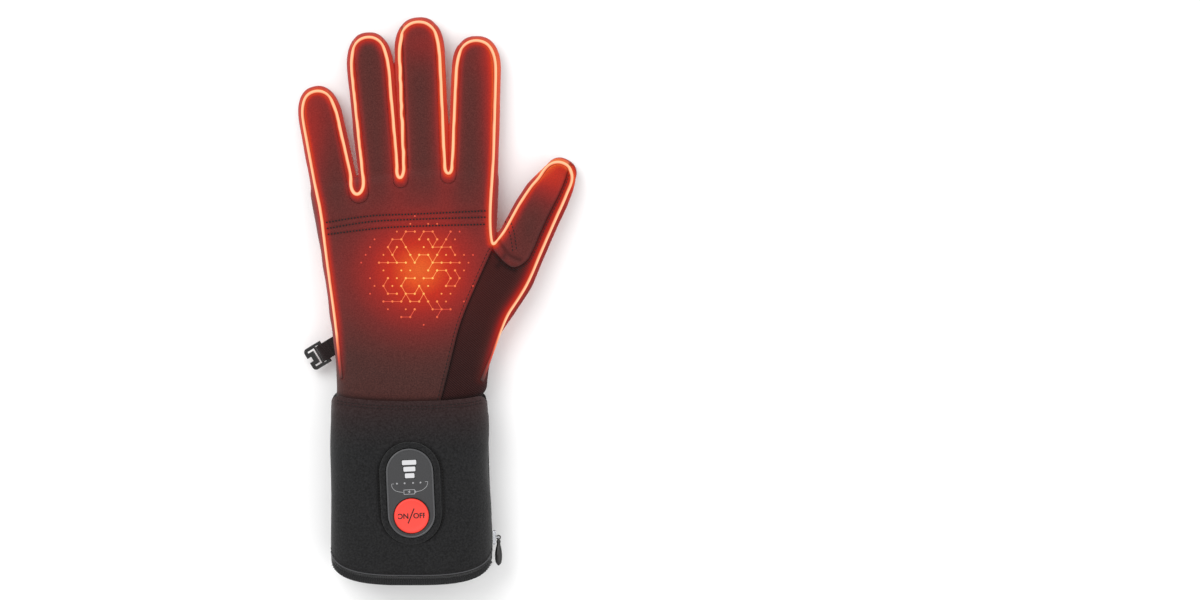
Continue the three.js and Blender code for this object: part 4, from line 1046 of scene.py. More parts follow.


# Painted shade: darker along the seams, in the dips between folds and where the hand's cloth meets the cuff's top
# edge, on the upper side only
def shade_at(points):
    shade = np.zeros(len(points))
    upper = np.clip((points[:, 2] - side_seam_height(points[:, 1])) / 3 + 0.5, 0, 1)
    for row in SEAM_SHADES:
        for line in seam_lines(row["line"]):
            shade = np.maximum(shade, row["shade"] * np.exp(-(distance_to(points[:, :2], line) / row["width"]) ** 2))
    for fold in FOLDS:
        if fold["height"] < 0 and fold["width"] < 3:
            line = rounded(plan_line(fold["ends"]), 2)
            shade = np.maximum(shade, 0.6 * np.exp(-(distance_to(points[:, :2], line) / fold["width"]) ** 2))
    cuff_edge = np.exp(-((points[:, 1] - cuff_top_edge(points[:, 0])) / 1.6) ** 2)
    return np.maximum(shade, 0.8 * cuff_edge) * upper


def looks_at(points, share=1.0):
    return {"warmth": heat_at(points, share), "shade": shade_at(points)}


# The hand's panels, each cut off clean at its seams
def below_side(points):
    return side_seam_height(points[:, 1]) - points[:, 2]


def make_hand():
    rest = (hand_points, hand_triangles)
    rest = keep(*rest, rest[0][:, 1] + CUFF_OVERLAP)
    for index in range(3):
        outline = fourchette_line(index)
        name = f"fourchette_{FINGERS[index]['name']}_{FINGERS[index + 1]['name']}"
        part = keep(*rest, inside_by(rest[0][:, :2], outline) - SEAM_GAP)
        thicken(add_piece(name + "_cloth", *part, softshell, [name], "softshell", **looks_at(part[0])))
        rest = keep(*rest, -inside_by(rest[0][:, :2], outline) - SEAM_GAP)
    lower = keep(*rest, below_side(rest[0]) - SEAM_GAP)
    upper = keep(*rest, -below_side(rest[0]) - SEAM_GAP)
    crotch = plan(THUMB_CROTCH)
    far, top = 2 * HAND_WIDTH, 2 * PALM_LENGTH
    thumb_side = [(far, top), (crotch[0] + 0.2 * HAND_WIDTH, top)]
    thumb_side += [(crotch[0] + 0.1 * HAND_WIDTH, crotch[1] + 0.26 * PALM_LENGTH)]
    gusset = np.vstack([gusset_line(), [(far, -top)], thumb_side])
    back = keep(*upper, -inside_by(upper[0][:, :2], gusset) - SEAM_GAP)
    thicken(add_piece("back_cloth", *back, softshell, ["back_panel"], "softshell", **looks_at(back[0])))
    side = keep(*upper, inside_by(upper[0][:, :2], gusset) - SEAM_GAP)
    thumb_region = np.vstack([thumb_back_line(), thumb_side[1:]])
    part = keep(*side, inside_by(side[0][:, :2], thumb_region) - SEAM_GAP)
    thicken(add_piece("thumb_back_cloth", *part, softshell, ["thumb_back"], "softshell", **looks_at(part[0])))
    part = keep(*side, -inside_by(side[0][:, :2], thumb_region) - SEAM_GAP)
    thicken(add_piece("gusset_cloth", *part, twill, ["twill_gusset"], "twill", **looks_at(part[0], 0.22)))
    thenar = np.vstack([rounded(plan_line(THENAR_SEAM), 2), thumb_side])
    palm = keep(*lower, -inside_by(lower[0][:, :2], thenar) - SEAM_GAP)
    ball = keep(*lower, inside_by(lower[0][:, :2], thenar) - SEAM_GAP)
    index = fingers[3]
    place = FINGERS[3]["reach"] * FINGER_LENGTH - TOUCH_TIP_LENGTH
    halves = [("palm_cloth", "palm_panel", "index_tip_cloth", "index_touch_tip", palm, index, FINGER_WIDTH, place)]
    halves += [("thumb_palm_cloth", "thumb_palm", "thumb_tip_cloth", "thumb_touch_tip", ball, thumb,
                1.4 * THUMB_WIDTH, THUMB_LENGTH - TOUCH_TIP_LENGTH)]
    for main, main_node, tip, tip_node, part, limb, width, start in halves:
        corners = [(-width / 2, start), (width / 2, start), (width / 2, 300), (-width / 2, 300)]
        outline = np.array([on_limb(limb, across, along) for across, along in corners])
        rest = keep(*part, -inside_by(part[0][:, :2], outline) - SEAM_GAP)
        end = keep(*part, inside_by(part[0][:, :2], outline) - SEAM_GAP)
        thicken(add_piece(main, *rest, grip_cloth, [main_node], "grip_cloth", **looks_at(rest[0])))
        thicken(add_piece(tip, *end, touch_cloth, [tip_node], "touch_cloth", **looks_at(end[0])))


# The cuff's panels
def cuff_end(points, up):
    """Distance inside the cuff's rounded end, moved up by a distance."""
    corner = CUFF_LENGTH - CUFF_CORNER
    outline = [(60, 200), (-60, 200), (-60, up - corner)]
    for angle in np.linspace(math.pi, 2 * math.pi, 61):
        across = math.copysign(abs(math.cos(angle)) ** (2 / 3), math.cos(angle)) * CUFF_WIDTH / 2
        drop_by = math.copysign(abs(math.sin(angle)) ** (2 / 3), math.sin(angle)) * CUFF_CORNER
        outline.append((across, up - corner + drop_by))
    outline.append((60, up - corner))
    return inside_by(points[:, :2], np.array(outline))


def cuff_top_edge(x):
    return 1.7 - 5.2 * np.sqrt(np.clip(1 - ((x + 1.4) / 43) ** 2, 0, 1))


def corner_fall(x):
    """How far the cuff's top edge falls away at its two rounded corners."""
    middle = cuff_sections()[-1]["shift"]
    half = cuff_sections()[-1]["half_width"]
    beyond = np.clip((np.abs(x - middle) - (half - TOP_CORNER)) / TOP_CORNER, 0, 1)
    return TOP_CORNER * (1 - np.sqrt(1 - beyond ** 2))


def cuff_looks(points):
    """The hand's heat still shows as a faint painted glow at the cuff's top; painted shade darkens the groove round
    the controller and the cloth along the edge of its window.
    """
    heat = 0.07 * np.clip((points[:, 1] + 34) / 34, 0, 1) ** 2 * (points[:, 2] > CUFF_EDGE)
    shade = np.zeros(len(points))
    for line in controller_grooves():
        shade = np.maximum(shade, 1.2 * np.exp(-(distance_to(points[:, :2], line) / 0.85) ** 2))
    window = on_controller(np.column_stack([stadium(3.4), np.zeros(42)]))[:, :2]
    close = distance_to(points[:, :2], np.vstack([window, window[:1]]))
    shade = np.maximum(shade, 0.5 * np.exp(-(close / 0.8) ** 2)) * (points[:, 2] > CUFF_EDGE + 5)
    return {"warmth": heat, "shade": shade}


def make_cuff():
    body = keep(cuff_points, cuff_triangles, cuff_end(cuff_points, 0))
    above = np.clip((body[0][:, 2] - CUFF_EDGE) / 4, 0, 1)
    edge = 1.7 + above * (cuff_top_edge(body[0][:, 0]) - 1.7) - corner_fall(body[0][:, 0])
    body = keep(*body, edge - body[0][:, 1])
    slit = np.maximum(body[0][:, 0] - SLIT_EDGE, body[0][:, 2] - CUFF_EDGE)
    body = keep(*body, np.maximum(slit, -41 - body[0][:, 0]))
    hem = keep(*body, SEAM_GAP * 2 + HEM_DEPTH - distance_up(body[0]))
    thicken(add_piece("hem_cloth", *hem, binding, ["cuff_hem"], "binding"), CLOTH)
    rest = keep(*body, distance_up(body[0]) - HEM_DEPTH - SEAM_GAP)
    palm = keep(*rest, CUFF_EDGE - SEAM_GAP - rest[0][:, 2])
    palm = keep(*palm, palm[0][:, 0] + 41)
    part = keep(*palm, SLIT_EDGE + SLIT_BINDING - palm[0][:, 0])
    thicken(add_piece("slit_binding_cloth", *part, binding, ["slit_binding"], "binding"), CLOTH)
    palm = keep(*palm, palm[0][:, 0] - SLIT_EDGE - SLIT_BINDING - SEAM_GAP)
    right = CUFF_WIDTH / 2
    strip = np.array([
        (right - EDGE_STRIP_WIDTH, CUFF_OVERLAP), (right - EDGE_STRIP_WIDTH, 0),
        (right + CLOTH, -EDGE_STRIP_LENGTH), (2 * right, -EDGE_STRIP_LENGTH), (2 * right, CUFF_OVERLAP),
    ])
    part = keep(*palm, inside_by(palm[0][:, :2], strip) - SEAM_GAP)
    thicken(add_piece("edge_strip_cloth", *part, strip_twill, ["cuff_edge_strip"], "twill"), CLOTH)
    part = keep(*palm, -inside_by(palm[0][:, :2], strip) - SEAM_GAP)
    thicken(add_piece("cuff_palm_cloth", *part, neoprene, ["cuff_palm"], "neoprene"), CLOTH)
    back = keep(*rest, np.maximum(rest[0][:, 2] - CUFF_EDGE, -41 - rest[0][:, 0]) - SEAM_GAP)
    band = keep(*back, HEM_DEPTH + ZIP_WIDTH - distance_up(back[0]))
    band = keep(*band, band[0][:, 2] - CUFF_EDGE)
    thicken(add_piece("zip_tape_cloth", *band, zip_black, ["zip_coil"], "binding"), CLOTH)
    back = keep(*back, np.maximum(distance_up(back[0]) - HEM_DEPTH - ZIP_WIDTH - SEAM_GAP,
                                  CUFF_EDGE - back[0][:, 2] - SEAM_GAP))
    window = on_controller(np.column_stack([stadium(3.2), np.zeros(42)]))[:, :2]
    inside = np.minimum(inside_by(back[0][:, :2], window), back[0][:, 2] - 30)
    back = keep(*back, -inside - SEAM_GAP)
    thicken(add_piece("cuff_back_cloth", *back, neoprene, ["cuff_back"], "neoprene", **cuff_looks(back[0])), CLOTH)


def distance_up(points):
    """How far up along the cuff from its bottom edge each point lies."""
    corner = CUFF_LENGTH - CUFF_CORNER
    share = np.clip(np.abs(points[:, 0]) / (CUFF_WIDTH / 2), 0, 1)
    end = -corner - CUFF_CORNER * (1 - share ** 3) ** (1 / 3)
    return points[:, 1] - end


def make_strap():
    outer = cuff_surface(GAP + STRAP_THICKNESS, dented=False)
    band = keep(*outer, STRAP_RISE - outer[0][:, 2])

    def outline(inset):
        right = STRAP_REACH - CUFF_WIDTH / 2 - inset
        top = -STRAP_FROM_WRIST - inset
        bottom = -STRAP_FROM_WRIST - STRAP_WIDTH + inset
        radius = STRAP_CORNER - inset
        points = [(-CUFF_WIDTH, top), (-CUFF_WIDTH, bottom)]
        for middle, start in ((bottom + radius, -math.pi / 2), (top - radius, 0)):
            for angle in np.linspace(start, start + math.pi / 2, 8):
                points.append((right - radius + radius * math.cos(angle), middle + radius * math.sin(angle)))
        return np.array(points)

    band = keep(*band, inside_by(band[0][:, :2], outline(0)))
    edge = keep(*band, -inside_by(band[0][:, :2], outline(STRAP_BINDING)))
    thicken(add_piece("strap_edge_cloth", *edge, binding, ["strap_binding"], "binding"), STRAP_THICKNESS - 0.2)
    face = keep(*band, inside_by(band[0][:, :2], outline(STRAP_BINDING + GAP)))
    thicken(add_piece("strap_cloth", *face, neoprene, ["wrist_strap"], "neoprene"), STRAP_THICKNESS - 0.5)


# The wire's painted glow: pale in its middle, orange at its sides, fading out at the wrist
def make_wire():
    points, normals = drop(hand_tree, wire_line)
    for _ in range(4):
        points[1:-1] = (points[:-2] + 2 * points[1:-1] + points[2:]) / 4
        normals[1:-1] = (normals[:-2] + 2 * normals[1:-1] + normals[2:]) / 4
    sides = 12
    profile = circle(WIRE_RADIUS * 1.1, sides, 0.8)
    tube, faces = sweep(points + 0.3 * normals, normals, profile)
    fade = np.clip((points[:, 1] - 6) / 28, 0, 1) ** 1.5
    # The painted glow is palest along the tube's top and orange down its sides
    core = np.clip(1.15 * np.sin(np.arange(sides) * 2 * math.pi / sides), 0.15, 1)
    heat = (fade[:, None] * core[None]).reshape(-1)
    add_piece("wire_glow_line", tube, faces, wire_glow, ["heating_wire"], "wire", warmth=heat)


# Stitches, ribs and printed lines that follow a surface
def stitches(tree, line, pitch, length, radius, lift=0.1, from_above=True):
    """Short rounded threads laid end to end along a line in plan."""
    parts = []
    centres = even(np.asarray(line, float), pitch)
    headings = np.gradient(centres, axis=0)
    headings /= np.linalg.norm(headings, axis=1)[:, None] + 1e-12
    for centre, heading in zip(centres, headings):
        shares = (-0.5, -0.3, 0.3, 0.5)
        points, normals = drop(tree, [centre + share * length * heading for share in shares], from_above)
        if len(points) == 4 and np.ptp(points[:, 2]) < 2.5 * length:
            points = points + normals * lift
            parts.append(sweep(points, normals, circle(radius, 6), scales=(0.35, 1, 1, 0.35)))
    return gather(parts)


def ribs(tree, line, reach, pitch, width, height, lift=0.0, from_above=True, lead=0.0):
    """Short raised ribs across a band whose middle is a line in plan."""
    parts = []
    centres = even(np.asarray(line, float), pitch)
    headings = np.gradient(centres, axis=0)
    headings /= np.linalg.norm(headings, axis=1)[:, None] + 1e-12
    for centre, heading in zip(centres, headings):
        aside = np.array([-heading[1], heading[0]]) + lead * heading
        stations = [centre + share * reach * aside for share in (-0.5, -0.25, 0, 0.25, 0.5)]
        points, normals = drop(tree, stations, from_above)
        if len(points) == 5 and np.ptp(points[:, 2]) < 2.5 * reach:
            points = points + normals * lift
            profile = [(-width / 2, -0.15), (width / 2, -0.15), (0, height)]
            parts.append(sweep(points, normals, profile, scales=(0.5, 1, 1, 1, 0.5)))
    return gather(parts)


def raised_line(tree, line, width, height, from_above=True, pitch=0.8, lift=0.0):
    """A flat strip along a line in plan."""
    points, normals = drop(tree, even(np.asarray(line, float), pitch), from_above)
    return sweep(points + normals * lift, normals, strip_profile(width, height))


def shifted(line, distance):
    """The line in plan moved to its left by a distance."""
    heading = np.gradient(line, axis=0)
    heading /= np.linalg.norm(heading, axis=1)[:, None] + 1e-12
    return line + distance * np.stack([-heading[:, 1], heading[:, 0]], 1)


def end_line(up, from_above=True):
    """Line in plan along the cuff's rounded end, up from its edge by a distance."""
    across = np.sin(np.linspace(-math.pi / 2, math.pi / 2, 121)) * CUFF_WIDTH / 2 * 0.992
    share = np.abs(across) / (CUFF_WIDTH / 2)
    corner = CUFF_LENGTH - CUFF_CORNER
    return np.stack([across, up - corner - CUFF_CORNER * (1 - share ** 3) ** (1 / 3)], 1)


def add_details(name, parts, material, **values):
    return add_piece(name, *gather(parts), material, **values)


def sew_hand():
    """Threads along the hand's seams."""
    gusset = gusset_line()
    thumb_seam = thumb_back_line()
    rows = [
        stitches(hand_tree, shifted(gusset, -1.9), 2.2, 1.7, 0.22),
        stitches(hand_tree, shifted(thumb_seam, -1.3), 2.0, 1.4, 0.2),
    ]
    for row in KNUCKLE_ROWS:
        rows.append(stitches(hand_tree, rounded(plan_line(row), 3), 1.76, 1.0, 0.45, 0.05))
    crotch_rows = [
        [(0.515, 0.78), (0.548, 0.71), (0.562, 0.64)],
        [(0.535, 0.8), (0.57, 0.725), (0.582, 0.65)],
    ]
    for row in crotch_rows:
        rows.append(stitches(hand_tree, rounded(plan_line(row), 2), 2.0, 1.3, 0.26))
    add_details("hand_stitches", rows, thread)
    under = []
    for finger, limb in ((FINGERS[3], fingers[3]),):
        place = finger["reach"] * FINGER_LENGTH - TOUCH_TIP_LENGTH
        for step in (-1.2, -2.8):
            ends = [on_limb(limb, -11, place + step), on_limb(limb, 11, place + step)]
            under.append(stitches(hand_tree, ends, 2.0, 1.4, 0.22, from_above=False))
    place = THUMB_LENGTH - TOUCH_TIP_LENGTH
    ends = [on_limb(thumb, -10, place - 1.4), on_limb(thumb, 11, place - 1.4)]
    under.append(stitches(hand_tree, ends, 2.0, 1.4, 0.22, from_above=False))
    thenar = rounded(plan_line(THENAR_SEAM[:-1]), 2)
    under.append(stitches(hand_tree, shifted(thenar, 1.4), 2.2, 1.6, 0.22, from_above=False))
    add_details("palm_stitches", under, grey_thread)


def sew_cuff():
    """Threads round the controller and along the cuff's top edge."""
    rows = [stitches(cuff_tree, line, 1.6, 1.2, 0.36, 0.05) for line in controller_grooves()]
    across = np.linspace(-40, 38, 60)
    for below in (2.6, 4.2):
        rows.append(stitches(cuff_tree, np.stack([across, cuff_top_edge(across) - below], 1), 2.0, 1.5, 0.2))
    add_details("cuff_stitches", rows, thread)


def make_hem():
    """Ribs of the bound hem, teeth of the zip and the pale piping above it."""
    rows = []
    for above in (True, False):
        rows.append(ribs(cuff_tree, end_line(1.7), 2.6, 1.25, 0.8, 0.3, from_above=above))
    add_details("hem_ribs", rows, binding)
    teeth = [ribs(cuff_tree, end_line(4.1), 1.3, 1.3, 0.75, 0.45)]
    add_details("zip_teeth", teeth, zip_black)
    points, normals = drop(cuff_tree, even(end_line(5.3), 0.8))
    piping = [sweep(points + 0.1 * normals, normals, circle(0.32, 8))]
    add_details("zip_piping", piping, pale_piping)
    dashes = [stitches(cuff_tree, end_line(6.7), 2.0, 1.3, 0.22)]
    add_details("zip_stitches", dashes, thread)


def bind_strap():
    """Ribs round the strap's bound edge and along the slit, and the stitched line inside them."""
    right = STRAP_REACH - CUFF_WIDTH / 2
    top, bottom = -STRAP_FROM_WRIST, -STRAP_FROM_WRIST - STRAP_WIDTH

    def edge(inset):
        radius = STRAP_CORNER - inset
        points = [(-40, bottom + inset)]
        for middle, start in ((bottom + STRAP_CORNER, -math.pi / 2), (top - STRAP_CORNER, 0)):
            for angle in np.linspace(start, start + math.pi / 2, 8):
                x = right - STRAP_CORNER + radius * math.cos(angle)
                points.append((x, middle + radius * math.sin(angle)))
        points.append((-40, top - inset))
        return np.array(points)

    lift = GAP + STRAP_THICKNESS
    rows = [ribs(cuff_tree, edge(2), 3.4, 1.3, 0.8, 0.2, lift - 0.2, from_above=False)]
    slit = np.array([(SLIT_EDGE + 2, -4), (SLIT_EDGE + 2, top + 1)])
    rows.append(ribs(cuff_tree, slit, 3.2, 1.3, 0.8, 0.28, from_above=False))
    slit = np.array([(SLIT_EDGE + 2, bottom - 1), (SLIT_EDGE + 2, -CUFF_LENGTH + 14)])
    rows.append(ribs(cuff_tree, slit, 3.2, 1.3, 0.8, 0.28, from_above=False))
    add_details("binding_ribs", rows, binding)
    add_details("strap_stitches", [stitches(cuff_tree, edge(5.6), 2.2, 1.6, 0.22, lift, False)], grey_thread)


# The circuit that is printed on the back, with a painted glow: strokes along a lattice of points
LATTICE_PITCH = 4.9
LATTICE_ROW = 4.26
WAYS = {"E": (2, 0), "W": (-2, 0), "NE": (1, 1), "NW": (-1, 1), "SE": (1, -1), "SW": (-1, -1)}
STROKES = [
    {"column": -1, "row": 1, "steps": "NE E SE SW"},
    {"column": 3, "row": 1, "steps": "E E E"},
    {"column": 3, "row": 1, "steps": "NE NE E SE"},
    {"column": -1, "row": -1, "steps": "W SW SE E NE"},
    {"column": 1, "row": -1, "steps": "E NE E SE SW"},
    {"column": -1, "row": 1, "steps": "NW NW NW NE E"},
    {"column": -3, "row": 1, "steps": "W NW NE"},
    {"column": -5, "row": 1, "steps": "W W"},
    {"column": -3, "row": -3, "steps": "SW W W"},
    {"column": 0, "row": -2, "steps": "SE SW W NW"},
    {"column": 1, "row": -3, "steps": "SE SE E E"},
    {"column": 0, "row": 4, "steps": "NE E SE SW"},
    {"column": 2, "row": 4, "steps": "SE E NE NE"},
    {"column": -7, "row": -1, "steps": "SW SE E"},
    {"column": 6, "row": -2, "steps": "E NE NW"},
    {"column": -4, "row": 4, "steps": "W SW SE"},
    {"column": -1, "row": -5, "steps": "SW W"},
    {"column": 4, "row": -4, "steps": "SE SW"},
]


def lattice_point(spot):
    centre = plan(HEAT_CENTRE)
    return centre + np.array([spot[0] * LATTICE_PITCH / 2, spot[1] * LATTICE_ROW])


def print_circuit():
    parts, heats, marked = [], [], set()
    for stroke in STROKES:
        spot = (stroke["column"], stroke["row"])
        marked.add(spot)
        for step in stroke["steps"].split():
            way = WAYS[step]
            nxt = (spot[0] + way[0], spot[1] + way[1])
            marked.add(nxt)
            part = raised_line(hand_tree, np.array([lattice_point(spot), lattice_point(nxt)]), 0.42, 0.12)
            parts.append(part)
            heats.append(0.8 * print_heat(part[0]))
            spot = nxt
    for row in range(-8, 9):
        for column in range(-14, 15):
            if (column + row) % 2:
                continue
            away = math.hypot(column * LATTICE_PITCH / 2, row * LATTICE_ROW * 1.1)
            hole = (column - row) % 6 == 0 and (column, row) not in marked
            if away > 33 or hole or ((column, row) not in marked and random.random() < 0.25):
                continue
            points, normals = drop(hand_tree, [lattice_point((column, row))])
            size = 0.62 if (column, row) in marked else 0.5
            part = dome(points[0], normals[0], size)
            parts.append(part)
            heats.append(1.15 * print_heat(part[0]))
    add_details("circuit_print", parts, print_glow, warmth=np.clip(np.concatenate(heats), 0, 1))


def print_heat(points):
    away = np.linalg.norm(points[:, :2] - plan(HEAT_CENTRE), axis=1)
    return 0.9 * np.exp(-(away / 24) ** 2) + 0.12


def dome(point, normal, radius, height=0.2, sides=10):
    """A low round dot on a surface."""
    normal = normal / np.linalg.norm(normal)
    aside = np.cross(normal, [0, 1, 0])
    aside /= np.linalg.norm(aside)
    other = np.cross(normal, aside)
    points = []
    for share, up in ((1, -0.1), (1, height * 0.5), (0.6, height)):
        for angle in np.arange(sides) * 2 * math.pi / sides:
            offset = math.cos(angle) * aside + math.sin(angle) * other
            points.append(point + radius * share * offset + up * normal)
    faces = []
    for ring in range(2):
        for side in range(sides):
            nxt = (side + 1) % sides
            faces.append([ring * sides + side, ring * sides + nxt,
                          (ring + 1) * sides + nxt, (ring + 1) * sides + side])
    faces.append(list(range(2 * sides, 3 * sides)))
    faces.append(list(range(sides))[::-1])
    return np.array(points), faces


# The palm: raised honeycomb lines and the wire's run, which glows flush with the cloth
HONEYCOMB_PITCH = 4.4


def make_honeycomb():
    side = HONEYCOMB_PITCH / math.sqrt(3)
    thenar = np.vstack([rounded(plan_line(THENAR_SEAM), 2), [(150, 2.5)], [(150, 200)]])
    parts = []
    for row in range(2, 54):
        for column in range(-16, 17):
            centre = np.array([(column + 0.5 * (row % 2)) * HONEYCOMB_PITCH, row * side * 1.5])
            corners = [centre + side * np.array([math.sin(turn), math.cos(turn)])
                       for turn in np.radians([0, 60, 120, 180])]
            for start, end in zip(corners[:-1], corners[1:]):
                middle = (start + end) / 2
                if inside_by(middle[None], thenar)[0] > -2:
                    continue
                points, normals = drop(hand_tree, [start, end], False)
                if len(points) == 2 and normals[:, 2].max() < -0.25 and points[:, 2].max() < 6:
                    profile = [(-0.32, -0.1), (0.32, -0.1), (0.2, 0.3), (-0.2, 0.3)]
                    parts.append(sweep(points, normals, profile, caps=False))
    add_details("palm_honeycomb", parts, silicone)


def make_palm_wire():
    line = wire_line[(wire_line[:, 1] > 12)]
    points, normals = drop(hand_tree, line, False)
    strip, faces = sweep(points, normals, [(-0.8, -0.15), (0.8, -0.15), (0.5, 0.3), (-0.5, 0.3)])
    heat = np.clip((strip[:, 1] - 8) / 30, 0, 1)
    add_piece("palm_wire_line", strip, faces, palm_glow, warmth=heat)


# The controller
def prism(outline, low, high, holes=()):
    """A plate between two heights, with holes right through it."""
    loops = [np.asarray(outline, float)] + [np.asarray(hole, float) for hole in holes]
    loops = [loop if turn_of(loop) > 0 else loop[::-1] for loop in loops]
    flat = [[Vector((x, y, 0)) for x, y in loop] for loop in loops]
    caps = [list(face) for face in tessellate_polygon(flat)]
    base = np.concatenate(loops)
    count = len(base)
    points = np.concatenate([
        np.column_stack([base, np.full(count, low)]), np.column_stack([base, np.full(count, high)]),
    ])
    faces = []
    for face in caps:
        a, b, c = (base[index] for index in face)
        upward = (b[0] - a[0]) * (c[1] - a[1]) - (b[1] - a[1]) * (c[0] - a[0]) > 0
        top = face if upward else face[::-1]
        faces.append([index + count for index in top])
        faces.append(top[::-1])
    start = 0
    for number, loop in enumerate(loops):
        for index in range(len(loop)):
            here, there = start + index, start + (index + 1) % len(loop)
            wall = [here, there, there + count, here + count]
            faces.append(wall if number == 0 else wall[::-1])
        start += len(loop)
    return points, faces


def turn_of(loop):
    x, y = loop[:, 0], loop[:, 1]
    return float(np.sum(x * np.roll(y, -1) - np.roll(x, -1) * y))


def turned(profile, centre, sides=72):
    """A round solid from rows of radius and height, standing at a centre in plan."""
    angles = np.arange(sides) * 2 * math.pi / sides
    points, faces = [], []
    for radius, height in profile:
        ring = np.stack([np.cos(angles) * radius, np.sin(angles) * radius, np.full(sides, height)], 1)
        points.append(ring + np.array([centre[0], centre[1], 0]))
    for ring in range(len(profile) - 1):
        for side in range(sides):
            nxt = (side + 1) % sides
            faces.append([ring * sides + side, ring * sides + nxt,
                          (ring + 1) * sides + nxt, (ring + 1) * sides + side])
    faces.append([(len(profile) - 1) * sides + side for side in range(sides)])
    faces.append(list(range(sides))[::-1])
    return np.concatenate(points), faces


def disc(radius, centre, sides=48):
    angles = np.arange(sides) * 2 * math.pi / sides
    return np.stack([centre[0] + radius * np.cos(angles), centre[1] + radius * np.sin(angles)], 1)


def flat_stroke(line, width, low, high):
    """A flat line of one width, drawn on a level face."""
    line = np.asarray(line, float)
    points = np.column_stack([line, np.full(len(line), low)])
    profile = [(-width / 2, 0), (width / 2, 0), (width / 2, high - low), (-width / 2, high - low)]
    return sweep(points, np.tile([0.0, 0, 1], (len(line), 1)), profile)


def set_on_controller(part):
    return on_controller(part[0]), part[1]


LAMP_ROWS = [{"reach": 3.9, "y": 16.8}, {"reach": 3.25, "y": 13.2}, {"reach": 2.6, "y": 9.6}]
LAMP_HALF = 1.3
WELL_DEPTH = 2.4
DOTS =[-7.15, -2.97, 1.66, 5.75]
DOTS_Y = 5.55


def make_controller():
    face = PLATE_TOP - 0.35
    button_y = BUTTON_FROM_END - CONTROLLER_LENGTH / 2
    holes = [disc(BUTTON_RADIUS + 0.35, (0, button_y), 72)]
    for row in LAMP_ROWS:
        grown = LAMP_HALF + 0.25
        reach = row["reach"] + 0.25
        holes.append(np.array([(-reach, row["y"] - grown), (reach, row["y"] - grown),
                               (reach, row["y"] + grown), (-reach, row["y"] + grown)]))
    parts = [
        prism(stadium(-0.9, 32), face - WELL_DEPTH, face, holes),
        prism(stadium(-0.5, 32), PLATE_TOP - 5, face - WELL_DEPTH),
    ]
    add_piece("controller_face", *set_on_controller(gather(parts)), casing, ["controller_plate"], "casing", sharp=30)
    rim = stadium(-0.62, 32)
    line = np.column_stack([rim, np.full(len(rim), PLATE_TOP - 1.3)])
    upright = np.tile([0.0, 0, 1], (len(line), 1))
    profile = [(-0.6, -1.5), (0.6, -1.5), (0.6, 0.9), (0.42, 1.2), (0, 1.3), (-0.42, 1.2), (-0.6, 0.9)]
    rim_part = sweep(line, upright, profile, closed=True)
    add_piece("controller_rim", *set_on_controller(rim_part), casing_rim, sharp=50)
    well = turned([(BUTTON_RADIUS + 0.9, PLATE_TOP - 2), (BUTTON_RADIUS + 0.9, face + 0.12),
                   (BUTTON_RADIUS + 0.5, face + 0.2), (BUTTON_RADIUS + 0.36, face + 0.1),
                   (BUTTON_RADIUS + 0.34, PLATE_TOP - 2)], (0, button_y))
    ring_faces = well[1][:-2]
    add_piece("button_well", *set_on_controller((well[0], ring_faces)), black_plastic, sharp=50)
    top = BUTTON_TOP
    cap = turned([(BUTTON_RADIUS, top - 2.4), (BUTTON_RADIUS, top - 0.7), (BUTTON_RADIUS - 0.15, top - 0.3),
                  (BUTTON_RADIUS - 0.5, top - 0.08), (BUTTON_RADIUS - 1.1, top), (BUTTON_RADIUS - 1.6, top - 0.12),
                  (6, top - 0.2), (3, top - 0.24), (0.5, top - 0.25)], (0, button_y))
    add_piece("button_cap", *set_on_controller(cap), button_rubber, ["power_button"], "button", "button", 60)
    letter_button(button_y, top - 0.26)
    for number, row in enumerate(LAMP_ROWS):
        outline = rounded_box(row["reach"], LAMP_HALF, 0.5) + np.array([0, row["y"]])
        lamp = prism(outline, PLATE_TOP - 1.2, PLATE_TOP + 0.05)
        piece = add_piece(f"lamp_{number + 1}", *set_on_controller(lamp), lamp_white,
                          [f"heat_bar_{number + 1}"], "lamp", sharp=40)
        bevel(piece, 0.25)
    mark_battery(face)


def rounded_box(half_width, half_height, radius, steps=6):
    points = []
    for turn, (x, y) in enumerate(((1, 1), (-1, 1), (-1, -1), (1, -1))):
        for angle in np.linspace(turn, turn + 1, steps) * math.pi / 2:
            points.append((x * (half_width - radius) + radius * math.cos(angle),
                           y * (half_height - radius) + radius * math.sin(angle)))
    return np.array(points)


def mark_battery(face):
    """Four lamps in a row, and under them a bowl-shaped line with the sign of a battery in it."""
    high = face + 0.12
    parts = []
    for x in DOTS:
        parts.append(turned([(0.5, face - 0.1), (0.5, high), (0.4, high + 0.06)], (x, DOTS_Y), 20))
    left = rounded(np.array([(-10.1, 5.4), (-10, 3.4), (-7.9, 1.3), (-3.9, 0.6)]), 0.5)
    right = rounded(np.array([(2.8, 0.6), (6.6, 1.3), (9.3, 3.4), (9.7, 6)]), 0.5)
    ticks = [np.array([(-10.1, 5.4), (-8.9, 5.5)]), np.array([(9.7, 6), (8.2, 5.9)])]
    parts += [flat_stroke(line, 0.24, face - 0.1, high) for line in (left, right, *ticks)]
    frame_line = rounded_box(3.1, 1.35, 0.4)
    outer, inner = frame_line + np.array([-0.6, 0.7]), rounded_box(2.8, 1.05, 0.3) + np.array([-0.6, 0.7])
    parts.append(prism(outer, face - 0.1, high, [inner]))
    parts.append(prism(rounded_box(0.3, 0.6, 0.1) + np.array([2.85, 0.7]), face - 0.1, high))
    bolt = np.array([(0.5, 1.1), (-1.0, 0.1), (-0.1, 0.1), (-0.6, -0.9), (1.0, 0.25), (0.1, 0.25)])
    parts.append(prism(bolt * 0.95 + np.array([-0.6, 0.62]), face - 0.1, high))
    add_piece("controller_print", *set_on_controller(gather(parts)), white_print, sharp=40)


